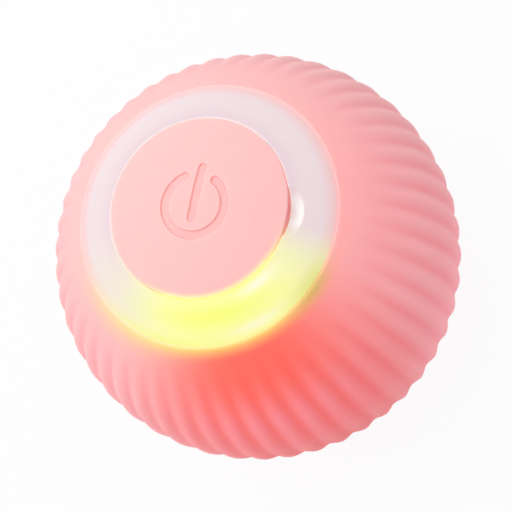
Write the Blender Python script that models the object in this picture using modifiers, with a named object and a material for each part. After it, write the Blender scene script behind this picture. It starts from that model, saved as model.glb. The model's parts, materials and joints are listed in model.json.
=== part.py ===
"""Self rolling cat ball: a ribbed silicone cover over a sealed plastic ball.

The button cap and the light ring are at the top pole. Inside, a geared motor
swings a heavy half ring about the pole axis, and that makes the ball roll on
its ribs. Lengths are in metres, +Z is up, and the origin is the middle of the
small flat that the ball stands on.

Run with: blender --background --python part.py
"""

import math

import bmesh
import bpy
from mathutils import Matrix, Vector

# Fits shared by the whole ball
FIT_GAP = 0.0003
OVERRUN = 0.001
WELD_DISTANCE = 0.000001
ROUND_STEPS = 32
ROUND_RINGS = 16
SMALL_STEPS = 16
PIN_STEPS = 10
ARC_STEPS = 6
SHARP_ANGLE = 35.0

# Silicone cover
BALL_RADIUS = 0.02125
COVER_WALL = 0.00175
FOOT_RADIUS = 0.0052
FOOT_RISE = 0.0002
FOOT_STEPS = 24
RIB_COUNT = 48
RIB_HEIGHT = 0.0005
RIB_COLUMNS = 4
RIB_CREST_ANGLE = 3.75
RIB_FULL_LATITUDE = 26.0
RIB_END_LATITUDE = 47.0
COVER_RINGS = 16
MOUTH_STEPS = 48
LIP_STEPS = 3
LIP_ROUND = 0.0005

# Inner ball
SHELL_WALL = 0.0015
SPIGOT_HEIGHT = 0.0016
FLOOR_DEPTH = 0.00405
FLOOR_WALL = 0.0013

# Light ring
RING_WIDTH = 0.00375
RING_EDGE_ROUND = 0.0003
RING_BORE_CHAMFER = 0.0002
NOTCH_ANGLE = 6.0
NOTCH_LENGTH = 0.005
NOTCH_REACH = 0.0014
NOTCH_DEPTH = 0.0007

# Button cap and its symbol
CAP_RADIUS = 0.00905
CAP_DOME_RISE = 0.00125
CAP_CLEARANCE = 0.00025
CAP_EDGE_ROUND = 0.0003
CAP_STEPS = 48
FACE_ARC_STEPS = 4
CAP_SKIRT_WALL = 0.0011
CAP_FACE_WALL = 0.0007
CAP_STUD_RADIUS = 0.0018
CAP_STUD_HEIGHT = 0.0007
SYMBOL_DEPTH = 0.00045
SYMBOL_RADIUS = 0.0035
SYMBOL_STROKE = 0.00085
SYMBOL_GAP_ANGLE = 30.5
SYMBOL_BAR_TOP = 0.0042
SYMBOL_BAR_LENGTH = 0.006
SYMBOL_STEPS = 24
SYMBOL_END_STEPS = 4

# Plunger and push switch
PLUNGER_RADIUS = 0.0013
PLUNGER_FLANGE_RADIUS = 0.0023
PLUNGER_FLANGE_THICKNESS = 0.0004
SWITCH_WIDTH = 0.0046
SWITCH_HEIGHT = 0.0028
SWITCH_STEM_RADIUS = 0.0011
SWITCH_STEM_RISE = 0.0008
SWITCH_STEM_DEPTH = 0.0008
BUTTON_TRAVEL = 0.0004

# Circuit board and what is on it
BOARD_SIDE_GAP = 0.0005
BOARD_THICKNESS = 0.001
USB_WIDTH = 0.00894
USB_DEPTH = 0.00326
USB_HEIGHT = 0.006
USB_WALL = 0.0003
USB_OFFSET = 0.0054
USB_TONGUE_WIDTH = 0.0067
USB_TONGUE_THICKNESS = 0.0007
USB_TONGUE_INSET = 0.0008
LED_ANGLE = -62.5
LED_COUNT = 3
LED_EDGE = 0.0014
LED_LENGTH = 0.002
LED_WIDTH = 0.00125
LED_HEIGHT = 0.0008
CHIP_WIDTH = 0.004
CHIP_HEIGHT = 0.0009
CHIP_OFFSET = 0.0072
SENSOR_RADIUS = 0.0012
SENSOR_LENGTH = 0.0055
SENSOR_OFFSET = 0.0068

# Screw posts inside the upper shell
POST_COUNT = 3
POST_RADIUS = 0.0015
BOARD_POST_EDGE = 0.002
FRAME_POST_EDGE = 0.0023
POST_SCREW_DEPTH = 0.0024

# Screws
SCREW_HEAD_RADIUS = 0.001
SCREW_HEAD_HEIGHT = 0.0007
SCREW_SHANK_RADIUS = 0.0005
SCREW_SLOT_WIDTH = 0.0004
SCREW_SLOT_DEPTH = 0.0004

# Motor frame
FRAME_SIDE_GAP = 0.0008
FRAME_THICKNESS = 0.001
FRAME_HEIGHT = 0.002
LEG_LENGTH = 0.0054
LEG_CIRCLE = 0.0079
LEG_RADIUS = 0.001
LEG_COUNT = 3
LEG_SCREW_DEPTH = 0.0025

# Battery
BATTERY_WIDTH = 0.0068
BATTERY_LENGTH = 0.017
BATTERY_THICKNESS = 0.004
BATTERY_EDGE_ROUND = 0.0006
PAD_THICKNESS = 0.0005
PAD_MARGIN = 0.0009
WIRE_RADIUS = 0.0003
WIRE_SPACING = 0.0012
WIRE_STEPS = 8

# Motor
MOTOR_WIDTH = 0.012
MOTOR_FLAT_DEPTH = 0.001
MOTOR_CAN_LENGTH = 0.0084
MOTOR_CAP_LENGTH = 0.0013
MOTOR_BOSS_RADIUS = 0.0018
MOTOR_BOSS_HEIGHT = 0.0006
MOTOR_SHAFT_RADIUS = 0.0004
MOTOR_SHAFT_SEAT = 0.003
TERMINAL_WIDTH = 0.0012
TERMINAL_THICKNESS = 0.0003
TERMINAL_HEIGHT = 0.0009
TERMINAL_OFFSET = 0.0036

# Gear train: the same pair of tooth counts in all four stages
GEAR_MODULE = 0.0003
SMALL_TEETH = 9
LARGE_TEETH = 23
GEAR_FACE = 0.0009
STAGE_COUNT = 4
ADDENDUM_SHARE = 0.8
DEDENDUM_SHARE = 1.15
BACKLASH_SHARE = 0.12
PRESSURE_ANGLE = 20.0
GEAR_SIDE_ANGLE = 90.0
GEAR_BORE_CLEARANCE = 0.0002
AXLE_RADIUS = 0.0004
AXLE_SEAT = 0.0006

# Gearbox
GEARBOX_RADIUS = 0.0092
GEARBOX_COVER_THICKNESS = 0.0008
GEARBOX_BASE_THICKNESS = 0.0012
PILLAR_RADIUS = 0.0011
COUNTERBORE_DEPTH = 0.0008

# Output shaft and its bushes
SHAFT_RADIUS = 0.0008
SHAFT_CLEARANCE = 0.00025
BUSH_WALL = 0.00085
LOWER_BUSH_HEIGHT = 0.0028
BUSH_BOSS_WALL = 0.0008
BUSH_FLOOR = 0.0008
SHAFT_END_PLAY = 0.0005

# Swinging weight
WEIGHT_RUNNING_GAP = 0.0008
WEIGHT_SIDE_GAP = 0.0007
WEIGHT_TOP = 0.0004
CARRIER_THICKNESS = 0.0012
CARRIER_SIDE_GAP = 0.0007
CARRIER_SIDE_EDGE = 0.00145
CARRIER_HUB_RADIUS = 0.0024
CARRIER_SCREW_EDGE = 0.001
WEIGHT_SCREW_SPAN = 0.0075
WEIGHT_SCREW_DEPTH = 0.003

# Radii of the nested skins
COVER_INNER = BALL_RADIUS - COVER_WALL
SHELL_RADIUS = COVER_INNER - FIT_GAP
SHELL_INNER = SHELL_RADIUS - SHELL_WALL
SPIGOT_MIDDLE = SHELL_INNER + SHELL_WALL / 2
CENTRE_HEIGHT = math.sqrt(BALL_RADIUS ** 2 - FOOT_RADIUS ** 2)
RING_BORE = CAP_RADIUS + CAP_CLEARANCE
MOUTH_RADIUS = RING_BORE + RING_WIDTH + FIT_GAP
MOUTH_LATITUDE = math.degrees(math.acos(MOUTH_RADIUS / BALL_RADIUS))

# The cap's face is a flatter dome, whose rim lies on the ball
CAP_RIM_HEIGHT = math.sqrt(BALL_RADIUS ** 2 - CAP_RADIUS ** 2)
CAP_DOME_RADIUS = (CAP_RADIUS ** 2 + CAP_DOME_RISE ** 2) / 2 / CAP_DOME_RISE
CAP_DOME_CENTRE = CAP_RIM_HEIGHT + CAP_DOME_RISE - CAP_DOME_RADIUS
CAP_TOP = CAP_DOME_CENTRE + CAP_DOME_RADIUS

# Circles inside the shell, each from the one that it fits in
FRAME_RADIUS = SHELL_INNER - FRAME_SIDE_GAP
FRAME_POST_CIRCLE = FRAME_RADIUS - FRAME_POST_EDGE
BOARD_RADIUS = FRAME_POST_CIRCLE - POST_RADIUS - BOARD_SIDE_GAP
BOARD_POST_CIRCLE = BOARD_RADIUS - BOARD_POST_EDGE
LED_CIRCLE = BOARD_RADIUS - LED_EDGE

# Heights below are measured from the centre of the ball, from the top down
FLOOR_TOP = BALL_RADIUS - FLOOR_DEPTH
FLOOR_BOTTOM = FLOOR_TOP - FLOOR_WALL
CAP_BOTTOM = FLOOR_TOP + BUTTON_TRAVEL + FIT_GAP
CAP_HOLLOW_RADIUS = CAP_RADIUS - CAP_SKIRT_WALL
CAP_HOLLOW_TOP = CAP_DOME_CENTRE + math.sqrt(CAP_DOME_RADIUS ** 2 - CAP_HOLLOW_RADIUS ** 2)
CAP_ROOF = CAP_HOLLOW_TOP - CAP_FACE_WALL
STUD_BOTTOM = CAP_ROOF - CAP_STUD_HEIGHT
PLUNGER_TOP = STUD_BOTTOM - FIT_GAP
FLANGE_TOP = FLOOR_BOTTOM - FIT_GAP
FLANGE_BOTTOM = FLANGE_TOP - PLUNGER_FLANGE_THICKNESS
USB_TOP = FLOOR_TOP - FIT_GAP
USB_BOTTOM = USB_TOP - USB_HEIGHT
BOARD_TOP = USB_BOTTOM - FIT_GAP
BOARD_BOTTOM = BOARD_TOP - BOARD_THICKNESS
SWITCH_BOTTOM = BOARD_TOP + FIT_GAP
SWITCH_TOP = SWITCH_BOTTOM + SWITCH_HEIGHT
STEM_TOP = SWITCH_TOP + SWITCH_STEM_RISE
PLUNGER_BOTTOM = STEM_TOP + FIT_GAP
FRAME_BOTTOM = FRAME_HEIGHT
FRAME_TOP = FRAME_BOTTOM + FRAME_THICKNESS
PAD_BOTTOM = FRAME_TOP + FIT_GAP
BATTERY_BOTTOM = PAD_BOTTOM + PAD_THICKNESS + FIT_GAP
BATTERY_TOP = BATTERY_BOTTOM + BATTERY_THICKNESS
MOTOR_THICKNESS = MOTOR_WIDTH - 2 * MOTOR_FLAT_DEPTH
BATTERY_INNER = MOTOR_THICKNESS / 2 + 2 * FIT_GAP
BATTERY_MIDDLE = BATTERY_INNER + BATTERY_WIDTH / 2

# The gearbox hangs under the frame's legs, and the motor stands on its cover
STAGE_PITCH = GEAR_FACE + FIT_GAP
LEG_BOTTOM = FRAME_BOTTOM - LEG_LENGTH
GEARBOX_COVER_TOP = LEG_BOTTOM - FIT_GAP
MOTOR_BOTTOM = GEARBOX_COVER_TOP + FIT_GAP
MOTOR_CAN_TOP = MOTOR_BOTTOM + MOTOR_CAN_LENGTH
MOTOR_CAP_BOTTOM = MOTOR_CAN_TOP + FIT_GAP
MOTOR_CAP_TOP = MOTOR_CAP_BOTTOM + MOTOR_CAP_LENGTH
GEARBOX_COVER_BOTTOM = GEARBOX_COVER_TOP - GEARBOX_COVER_THICKNESS
STAGE_TOP = GEARBOX_COVER_BOTTOM - FIT_GAP
BASE_TOP = STAGE_TOP - STAGE_COUNT * STAGE_PITCH
BASE_BOTTOM = BASE_TOP - GEARBOX_BASE_THICKNESS
CARRIER_TOP = BASE_BOTTOM - FIT_GAP
CARRIER_BOTTOM = CARRIER_TOP - CARRIER_THICKNESS
WEIGHT_BOTTOM = CARRIER_TOP + FIT_GAP
WEIGHT_OUTER = SHELL_INNER - WEIGHT_RUNNING_GAP
WEIGHT_INNER = GEARBOX_RADIUS + WEIGHT_SIDE_GAP
CARRIER_RADIUS = math.sqrt(SHELL_INNER ** 2 - CARRIER_BOTTOM ** 2) - CARRIER_SIDE_GAP
CARRIER_WIDTH = WEIGHT_SCREW_SPAN + 2 * CARRIER_SIDE_EDGE
WEIGHT_SCREW_CIRCLE = CARRIER_RADIUS - CARRIER_SCREW_EDGE
WEIGHT_SCREW_ANGLE = math.degrees(math.asin(WEIGHT_SCREW_SPAN / 2 / WEIGHT_SCREW_CIRCLE))

# The lower bush stands in a boss at the bottom of the lower shell
BUSH_RADIUS = SHAFT_RADIUS + SHAFT_CLEARANCE + BUSH_WALL
BOSS_BORE = BUSH_RADIUS + FIT_GAP
BOSS_RADIUS = BOSS_BORE + BUSH_BOSS_WALL
BOSS_FLOOR = BUSH_FLOOR - SHELL_INNER
BUSH_BOTTOM = BOSS_FLOOR + FIT_GAP
BUSH_TOP = BUSH_BOTTOM + LOWER_BUSH_HEIGHT
SHAFT_BOTTOM = BOSS_FLOOR + SHAFT_END_PLAY

# Gear sizes
SMALL_PITCH_RADIUS = GEAR_MODULE * SMALL_TEETH / 2
LARGE_PITCH_RADIUS = GEAR_MODULE * LARGE_TEETH / 2
GEAR_DISTANCE = SMALL_PITCH_RADIUS + LARGE_PITCH_RADIUS
GEAR_BORE = AXLE_RADIUS + GEAR_BORE_CLEARANCE

# Directions about the pole axis, in degrees from +X
SYMBOL_UP_ANGLE = 90.0
USB_ANGLE = -90.0
WEIGHT_ANGLE = 180.0
FULL_TURN = 360.0
POST_ANGLE = LED_ANGLE + FULL_TURN / POST_COUNT / 2
LEG_ANGLE = GEAR_SIDE_ANGLE + FULL_TURN / LEG_COUNT / 2

# Finishes: base colour, roughness, metallic
PINK_SILICONE = ((0.93, 0.42, 0.44), 0.62, 0.0)
PINK_CAP = ((0.94, 0.46, 0.46), 0.55, 0.0)
MILKY_PLASTIC = ((0.86, 0.84, 0.84), 0.4, 0.0)
FROSTED_PLASTIC = ((0.9, 0.84, 0.86), 0.3, 0.0)
WHITE_NYLON = ((0.85, 0.85, 0.82), 0.45, 0.0)
BLACK_PLASTIC = ((0.02, 0.02, 0.022), 0.45, 0.0)
GREY_PLASTIC = ((0.32, 0.33, 0.35), 0.5, 0.0)
GREEN_BOARD = ((0.02, 0.16, 0.07), 0.4, 0.0)
BATTERY_FOIL = ((0.55, 0.57, 0.6), 0.35, 0.8)
FOAM = ((0.08, 0.08, 0.09), 0.9, 0.0)
RED_WIRE = ((0.55, 0.03, 0.03), 0.5, 0.0)
YELLOW_LED = ((0.95, 0.85, 0.35), 0.25, 0.0)
BRIGHT_STEEL = ((0.62, 0.62, 0.64), 0.28, 1.0)
DULL_ZINC = ((0.42, 0.43, 0.45), 0.45, 1.0)
BRASS = ((0.75, 0.56, 0.25), 0.3, 1.0)


def clear_scene():
    for item in list(bpy.data.objects):
        bpy.data.objects.remove(item, do_unlink=True)


def new_collection(name):
    collection = bpy.data.collections.new(name)
    bpy.context.scene.collection.children.link(collection)
    return collection


def move_to(item, collection):
    for old in list(item.users_collection):
        old.objects.unlink(item)
    collection.objects.link(item)


def make_material(name, finish):
    colour, roughness, metallic = finish
    material = bpy.data.materials.new(name)
    material.use_nodes = True
    shader = material.node_tree.nodes["Principled BSDF"]
    shader.inputs["Base Color"].default_value = (*colour, 1.0)
    shader.inputs["Roughness"].default_value = roughness
    shader.inputs["Metallic"].default_value = metallic
    material.diffuse_color = (*colour, 1.0)
    return material


class Bench:
    """Holds the collections, and the empties that the pieces hang on."""

    def __init__(self):
        self.parts = new_collection("cat_ball")
        self.cutters = new_collection("cat_ball_cutters")
        self.centre = self.axis("ball_centre", None, (0, 0, CENTRE_HEIGHT))

    def axis(self, name, parent, place=(0, 0, 0)):
        empty = bpy.data.objects.new(name, None)
        empty.empty_display_size = OVERRUN
        empty.location = place
        empty.parent = parent
        self.parts.objects.link(empty)
        return empty

    def piece(self, item, name, finish, parent=None):
        """Make a shape one of the ball's named pieces."""
        move_to(item, self.parts)
        item.name = name
        item.data.name = name
        item.parent = parent or self.centre
        item.data.materials.clear()
        item.data.materials.append(make_material(name, finish))
        return item

    def tool(self, item, name, parent=None):
        """Make a shape a cutter or a joined form, which isn't a piece."""
        move_to(item, self.cutters)
        item.name = name
        item.parent = parent or self.centre
        item.hide_render = True
        item.display_type = "WIRE"
        return item

    def combine(self, item, other, operation):
        parent = item.parent or self.centre
        if other.name not in self.cutters.objects:
            self.tool(other, other.name, parent)
        modifier = item.modifiers.new(other.name, "BOOLEAN")
        modifier.operation = operation
        modifier.solver = "EXACT"
        modifier.object = other
        return item

    def cut(self, item, other):
        return self.combine(item, other, "DIFFERENCE")

    def join(self, item, other):
        return self.combine(item, other, "UNION")


def shade(mesh):
    mesh.shade_smooth()
    mesh.set_sharp_from_angle(angle=math.radians(SHARP_ANGLE))


def link_new(name, data):
    item = bpy.data.objects.new(name, data)
    bpy.context.scene.collection.objects.link(item)
    return item


def bake(item):
    """Replace an object by a plain mesh of its evaluated shape."""
    bpy.context.view_layer.update()
    graph = bpy.context.evaluated_depsgraph_get()
    mesh = bpy.data.meshes.new_from_object(item.evaluated_get(graph))
    form = bmesh.new()
    form.from_mesh(mesh)
    bmesh.ops.remove_doubles(form, verts=form.verts, dist=WELD_DISTANCE)
    bmesh.ops.recalc_face_normals(form, faces=form.faces)
    form.to_mesh(mesh)
    form.free()
    shade(mesh)
    baked = link_new(item.name, mesh)
    baked.matrix_world = item.matrix_world
    bpy.data.objects.remove(item, do_unlink=True)
    return baked


def turned(name, profile, steps=ROUND_STEPS, closed=False):
    """Turn a profile of radius and height about Z with a Screw modifier."""
    mesh = bpy.data.meshes.new(name)
    edges = [(index, index + 1) for index in range(len(profile) - 1)]
    if closed:
        edges.append((len(profile) - 1, 0))
    mesh.from_pydata([(radius, 0, height) for radius, height in profile], edges, [])
    item = link_new(name, mesh)
    screw = item.modifiers.new("turn", "SCREW")
    screw.steps = steps
    screw.render_steps = steps
    screw.use_merge_vertices = True
    screw.merge_threshold = WELD_DISTANCE
    return bake(item)


def box(name, size, place):
    bpy.ops.mesh.primitive_cube_add(size=1, location=place)
    item = bpy.context.object
    item.name = name
    item.scale = size
    bpy.ops.object.transform_apply(location=False, rotation=False, scale=True)
    return item


def ball(name, radius, steps, rings):
    bpy.ops.mesh.primitive_uv_sphere_add(segments=steps, ring_count=rings, radius=radius)
    item = bpy.context.object
    item.name = name
    return item


def rods(name, places, radius, bottom, top, steps=PIN_STEPS):
    """Upright cylinders as one mesh: pins, posts or the holes for them."""
    form = bmesh.new()
    for across, along in places:
        move = Matrix.Translation((across, along, (bottom + top) / 2))
        bmesh.ops.create_cone(form, cap_ends=True, segments=steps, radius1=radius,
                              radius2=radius, depth=top - bottom, matrix=move)
    mesh = bpy.data.meshes.new(name)
    form.to_mesh(mesh)
    form.free()
    shade(mesh)
    return link_new(name, mesh)


def tube(name, bore, radius, bottom, top, steps=SMALL_STEPS):
    profile = [(bore, top), (radius, top), (radius, bottom), (bore, bottom)]
    return turned(name, profile, steps, closed=True)


def flat_piece(name, outlines, bottom, top):
    """Fill flat outlines, the inner ones as holes, and give them a thickness."""
    curve = bpy.data.curves.new(name, "CURVE")
    curve.dimensions = "2D"
    curve.fill_mode = "BOTH"
    curve.extrude = (top - bottom) / 2
    for outline in outlines:
        spline = curve.splines.new("POLY")
        spline.points.add(len(outline) - 1)
        for point, (across, along) in zip(spline.points, outline):
            point.co = (across, along, 0, 1)
        spline.use_cyclic_u = True
    item = link_new(name, curve)
    item.location.z = (top + bottom) / 2
    return bake(item)


def polar(radius, degrees):
    angle = math.radians(degrees)
    return radius * math.cos(angle), radius * math.sin(angle)


def around(radius, count, start):
    return [polar(radius, start + FULL_TURN * index / count) for index in range(count)]


def arc(centre, radius, start, end, steps):
    """Points of an arc from one angle to another, in degrees."""
    across, along = centre
    points = []
    for index in range(steps + 1):
        east, north = polar(radius, start + (end - start) * index / steps)
        points.append((across + east, along + north))
    return points


def sphere_arc(radius, start, end, steps=ARC_STEPS):
    """Profile points on a sphere about the ball's centre, by latitude."""
    return arc((0, 0), radius, start, end, steps)


def latitude_at_radius(sphere, radius):
    return math.degrees(math.acos(radius / sphere))


def latitude_at_height(sphere, height):
    return math.degrees(math.asin(height / sphere))


def stadium(width, depth, place=(0, 0), steps=SYMBOL_END_STEPS):
    """Outline of a slot along X with round ends."""
    across, along = place
    reach = (width - depth) / 2
    right = arc((across + reach, along), depth / 2, -FULL_TURN / 4, FULL_TURN / 4, steps)
    left = arc((across - reach, along), depth / 2, FULL_TURN / 4, FULL_TURN * 3 / 4, steps)
    return right + left


def rib_strength(latitude):
    """How far the ribs have risen at a latitude: 1 on the tread, 0 at the poles."""
    share = (RIB_END_LATITUDE - abs(latitude)) / (RIB_END_LATITUDE - RIB_FULL_LATITUDE)
    share = min(max(share, 0), 1)
    return share * share * (3 - 2 * share)


def mouth_cutter():
    """What the mouth removes: a cone towards the centre, flared to round the lip."""
    def at(along_surface, radius):
        angle = MOUTH_LATITUDE - math.degrees(along_surface / BALL_RADIUS)
        return polar(radius, angle)

    top = BALL_RADIUS + 2 * OVERRUN
    outside = at(LIP_ROUND, BALL_RADIUS + OVERRUN)
    profile = [(0, top), (outside[0], top), outside]
    for across, height in arc((LIP_ROUND, BALL_RADIUS - LIP_ROUND), LIP_ROUND,
                              FULL_TURN / 4, FULL_TURN / 2, LIP_STEPS):
        profile.append(at(across, height))
    inside = at(0, COVER_INNER - OVERRUN)
    profile += [inside, (0, inside[1])]
    return turned("cover_mouth", profile, MOUTH_STEPS)


def build_cover(bench):
    cover = ball("cover", BALL_RADIUS, RIB_COUNT * RIB_COLUMNS, COVER_RINGS)
    for vertex in cover.data.vertices:
        place = Vector(vertex.co)
        latitude = math.degrees(math.atan2(place.z, math.hypot(place.x, place.y)))
        longitude = math.degrees(math.atan2(place.y, place.x))
        wave = math.cos(math.radians((longitude - RIB_CREST_ANGLE) * RIB_COUNT))
        rise = RIB_HEIGHT / 2 * wave * rib_strength(latitude)
        vertex.co = place * (1 + rise / place.length)
    shade(cover.data)
    bench.piece(cover, "silicone_cover", PINK_SILICONE)
    bench.cut(cover, ball("cover_hollow", COVER_INNER, ROUND_STEPS, ROUND_RINGS))
    bench.cut(cover, mouth_cutter())
    size = 2 * BALL_RADIUS
    flat = box("flat_cutter", (size, size, size), (0, 0, FOOT_RISE - CENTRE_HEIGHT - BALL_RADIUS))
    bench.cut(cover, flat)
    wall_middle = (COVER_INNER + CENTRE_HEIGHT) / 2
    bench.join(cover, rods("foot", [(0, 0)], FOOT_RADIUS, -CENTRE_HEIGHT, -wall_middle, FOOT_STEPS))


def build_light_ring(bench):
    inner = SHELL_RADIUS + FIT_GAP
    edge = MOUTH_LATITUDE + math.degrees(FIT_GAP / BALL_RADIUS)
    edge_turn = math.degrees(RING_EDGE_ROUND / BALL_RADIUS)
    first = latitude_at_radius(BALL_RADIUS, RING_BORE + RING_BORE_CHAMFER)
    bore_top = math.sqrt(BALL_RADIUS ** 2 - RING_BORE ** 2) - RING_BORE_CHAMFER
    profile = [(RING_BORE, bore_top)]
    profile += sphere_arc(BALL_RADIUS, first, edge + edge_turn, FACE_ARC_STEPS)
    profile.append(polar(BALL_RADIUS - RING_EDGE_ROUND, edge))
    profile += sphere_arc(inner, edge, latitude_at_radius(inner, RING_BORE), FACE_ARC_STEPS)
    ring = turned("light_ring", profile, MOUTH_STEPS, closed=True)
    bench.piece(ring, "light_ring", FROSTED_PLASTIC)
    scoop = ball("notch_cutter", 1, SMALL_STEPS, PIN_STEPS)
    reach = NOTCH_REACH + CAP_CLEARANCE
    scoop.scale = (reach, NOTCH_LENGTH / 2, NOTCH_DEPTH)
    scoop.rotation_euler = (0, math.asin(CAP_RADIUS / BALL_RADIUS), math.radians(NOTCH_ANGLE))
    scoop.location = (*polar(CAP_RADIUS, NOTCH_ANGLE), CAP_RIM_HEIGHT)
    bench.cut(ring, scoop)


def post_places(circle):
    return around(circle, POST_COUNT, POST_ANGLE)


def build_upper_shell(bench):
    seam = FIT_GAP / 2
    rebate = SPIGOT_MIDDLE + FIT_GAP / 2
    rebate_top = seam + SPIGOT_HEIGHT + FIT_GAP
    profile = [(0, FLOOR_TOP)]
    profile += sphere_arc(SHELL_RADIUS, latitude_at_height(SHELL_RADIUS, FLOOR_TOP),
                          latitude_at_height(SHELL_RADIUS, seam))
    profile += [(rebate, seam), (rebate, rebate_top)]
    profile += sphere_arc(SHELL_INNER, latitude_at_height(SHELL_INNER, rebate_top),
                          latitude_at_height(SHELL_INNER, FLOOR_BOTTOM))
    profile.append((0, FLOOR_BOTTOM))
    shell = turned("upper_shell", profile)
    bench.piece(shell, "upper_shell", MILKY_PLASTIC)
    board_posts = rods("board_posts", post_places(BOARD_POST_CIRCLE), POST_RADIUS,
                       BOARD_TOP + FIT_GAP, SHELL_RADIUS)
    frame_posts = rods("frame_posts", post_places(FRAME_POST_CIRCLE), POST_RADIUS,
                       FRAME_TOP + FIT_GAP, SHELL_RADIUS)
    wall_middle = ball("post_limit", SPIGOT_MIDDLE, ROUND_STEPS, ROUND_RINGS)
    for posts in (board_posts, frame_posts):
        bench.tool(posts, posts.name)
        bench.combine(posts, wall_middle, "INTERSECT")
        bench.join(shell, posts)
    hole = SCREW_SHANK_RADIUS + SHAFT_CLEARANCE
    for name, circle, height in (("board_post_holes", BOARD_POST_CIRCLE, BOARD_TOP),
                                 ("frame_post_holes", FRAME_POST_CIRCLE, FRAME_TOP)):
        bottom = height - FIT_GAP
        top = height + FIT_GAP + POST_SCREW_DEPTH
        bench.cut(shell, rods(name, post_places(circle), hole, bottom, top))
    slot = stadium(USB_WIDTH + 2 * FIT_GAP, USB_DEPTH + 2 * FIT_GAP, polar(USB_OFFSET, USB_ANGLE))
    low = FLOOR_BOTTOM - OVERRUN
    high = FLOOR_TOP + OVERRUN
    bench.cut(shell, flat_piece("usb_slot", [slot], low, high))
    bench.cut(shell, rods("plunger_hole", [(0, 0)], PLUNGER_RADIUS + FIT_GAP, low, high, SMALL_STEPS))


def build_lower_shell(bench):
    seam = -FIT_GAP / 2
    spigot_top = FIT_GAP / 2 + SPIGOT_HEIGHT
    spigot = SPIGOT_MIDDLE - FIT_GAP / 2
    foot_latitude = -latitude_at_radius(SHELL_INNER, BOSS_RADIUS)
    profile = [(0, BOSS_FLOOR), (BOSS_BORE, BOSS_FLOOR), (BOSS_BORE, BUSH_TOP),
               (BOSS_RADIUS, BUSH_TOP)]
    profile += sphere_arc(SHELL_INNER, foot_latitude, 0)
    profile += [(SHELL_INNER, spigot_top), (spigot, spigot_top), (spigot, seam)]
    profile += sphere_arc(SHELL_RADIUS, latitude_at_height(SHELL_RADIUS, seam), -FULL_TURN / 4)
    profile[-1] = (0, -SHELL_RADIUS)
    bench.piece(turned("lower_shell", profile), "lower_shell", MILKY_PLASTIC)


def symbol_cutter(bench):
    """The power symbol as a groove of even depth under the domed face."""
    high = CAP_TOP + OVERRUN
    low = CAP_ROOF
    half = SYMBOL_STROKE / 2
    middle = SYMBOL_RADIUS - half
    start = SYMBOL_UP_ANGLE + SYMBOL_GAP_ANGLE
    end = SYMBOL_UP_ANGLE + FULL_TURN - SYMBOL_GAP_ANGLE
    ring = arc((0, 0), middle + half, start, end, SYMBOL_STEPS)
    ring += arc(polar(middle, end), half, end, end + FULL_TURN / 2, SYMBOL_END_STEPS)[1:-1]
    ring += arc((0, 0), middle - half, end, start, SYMBOL_STEPS)
    ring += arc(polar(middle, start), half, start + FULL_TURN / 2, start + FULL_TURN,
                SYMBOL_END_STEPS)[1:-1]
    centre = SYMBOL_BAR_TOP - SYMBOL_BAR_LENGTH / 2
    bar = [(-along, centre + across) for across, along in stadium(SYMBOL_BAR_LENGTH, SYMBOL_STROKE)]
    cutter = flat_piece("symbol_cutter", [ring, bar], low, high)
    bench.tool(cutter, "symbol_cutter")
    floor = ball("symbol_floor", CAP_DOME_RADIUS - SYMBOL_DEPTH, ROUND_STEPS, 2 * ROUND_RINGS)
    floor.location.z = CAP_DOME_CENTRE
    return bench.cut(cutter, floor)


def build_button(bench, button, cap):
    edge = latitude_at_radius(CAP_DOME_RADIUS, CAP_RADIUS - CAP_EDGE_ROUND)
    side_top = CAP_RIM_HEIGHT - CAP_EDGE_ROUND
    profile = [(0, CAP_TOP)]
    profile += arc((0, CAP_DOME_CENTRE), CAP_DOME_RADIUS, FULL_TURN / 4, edge,
                   FACE_ARC_STEPS)[1:]
    profile += [(CAP_RADIUS, side_top), (CAP_RADIUS, CAP_BOTTOM),
                (CAP_HOLLOW_RADIUS, CAP_BOTTOM), (CAP_HOLLOW_RADIUS, CAP_ROOF),
                (CAP_STUD_RADIUS, CAP_ROOF), (CAP_STUD_RADIUS, STUD_BOTTOM), (0, STUD_BOTTOM)]
    face = bench.piece(turned("button_cap", profile, CAP_STEPS), "button_cap", PINK_CAP, cap)
    bench.cut(face, symbol_cutter(bench))

    profile = [(0, PLUNGER_TOP), (PLUNGER_RADIUS, PLUNGER_TOP), (PLUNGER_RADIUS, FLANGE_TOP),
               (PLUNGER_FLANGE_RADIUS, FLANGE_TOP), (PLUNGER_FLANGE_RADIUS, FLANGE_BOTTOM),
               (PLUNGER_RADIUS, FLANGE_BOTTOM), (PLUNGER_RADIUS, PLUNGER_BOTTOM),
               (0, PLUNGER_BOTTOM)]
    bench.piece(turned("switch_plunger", profile, SMALL_STEPS), "switch_plunger",
                WHITE_NYLON, button)
    stem_bottom = SWITCH_TOP - SWITCH_STEM_DEPTH
    stem = rods("switch_stem", [(0, 0)], SWITCH_STEM_RADIUS, stem_bottom, STEM_TOP, SMALL_STEPS)
    bench.piece(stem, "switch_stem", BLACK_PLASTIC, button)
    body = box("switch_body", (SWITCH_WIDTH, SWITCH_WIDTH, SWITCH_HEIGHT),
               (0, 0, (SWITCH_BOTTOM + SWITCH_TOP) / 2))
    bench.piece(body, "switch_body", BRIGHT_STEEL)
    well = rods("stem_well", [(0, 0)], SWITCH_STEM_RADIUS + FIT_GAP,
                stem_bottom - BUTTON_TRAVEL - FIT_GAP, SWITCH_TOP + OVERRUN, SMALL_STEPS)
    bench.cut(body, well)


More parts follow.
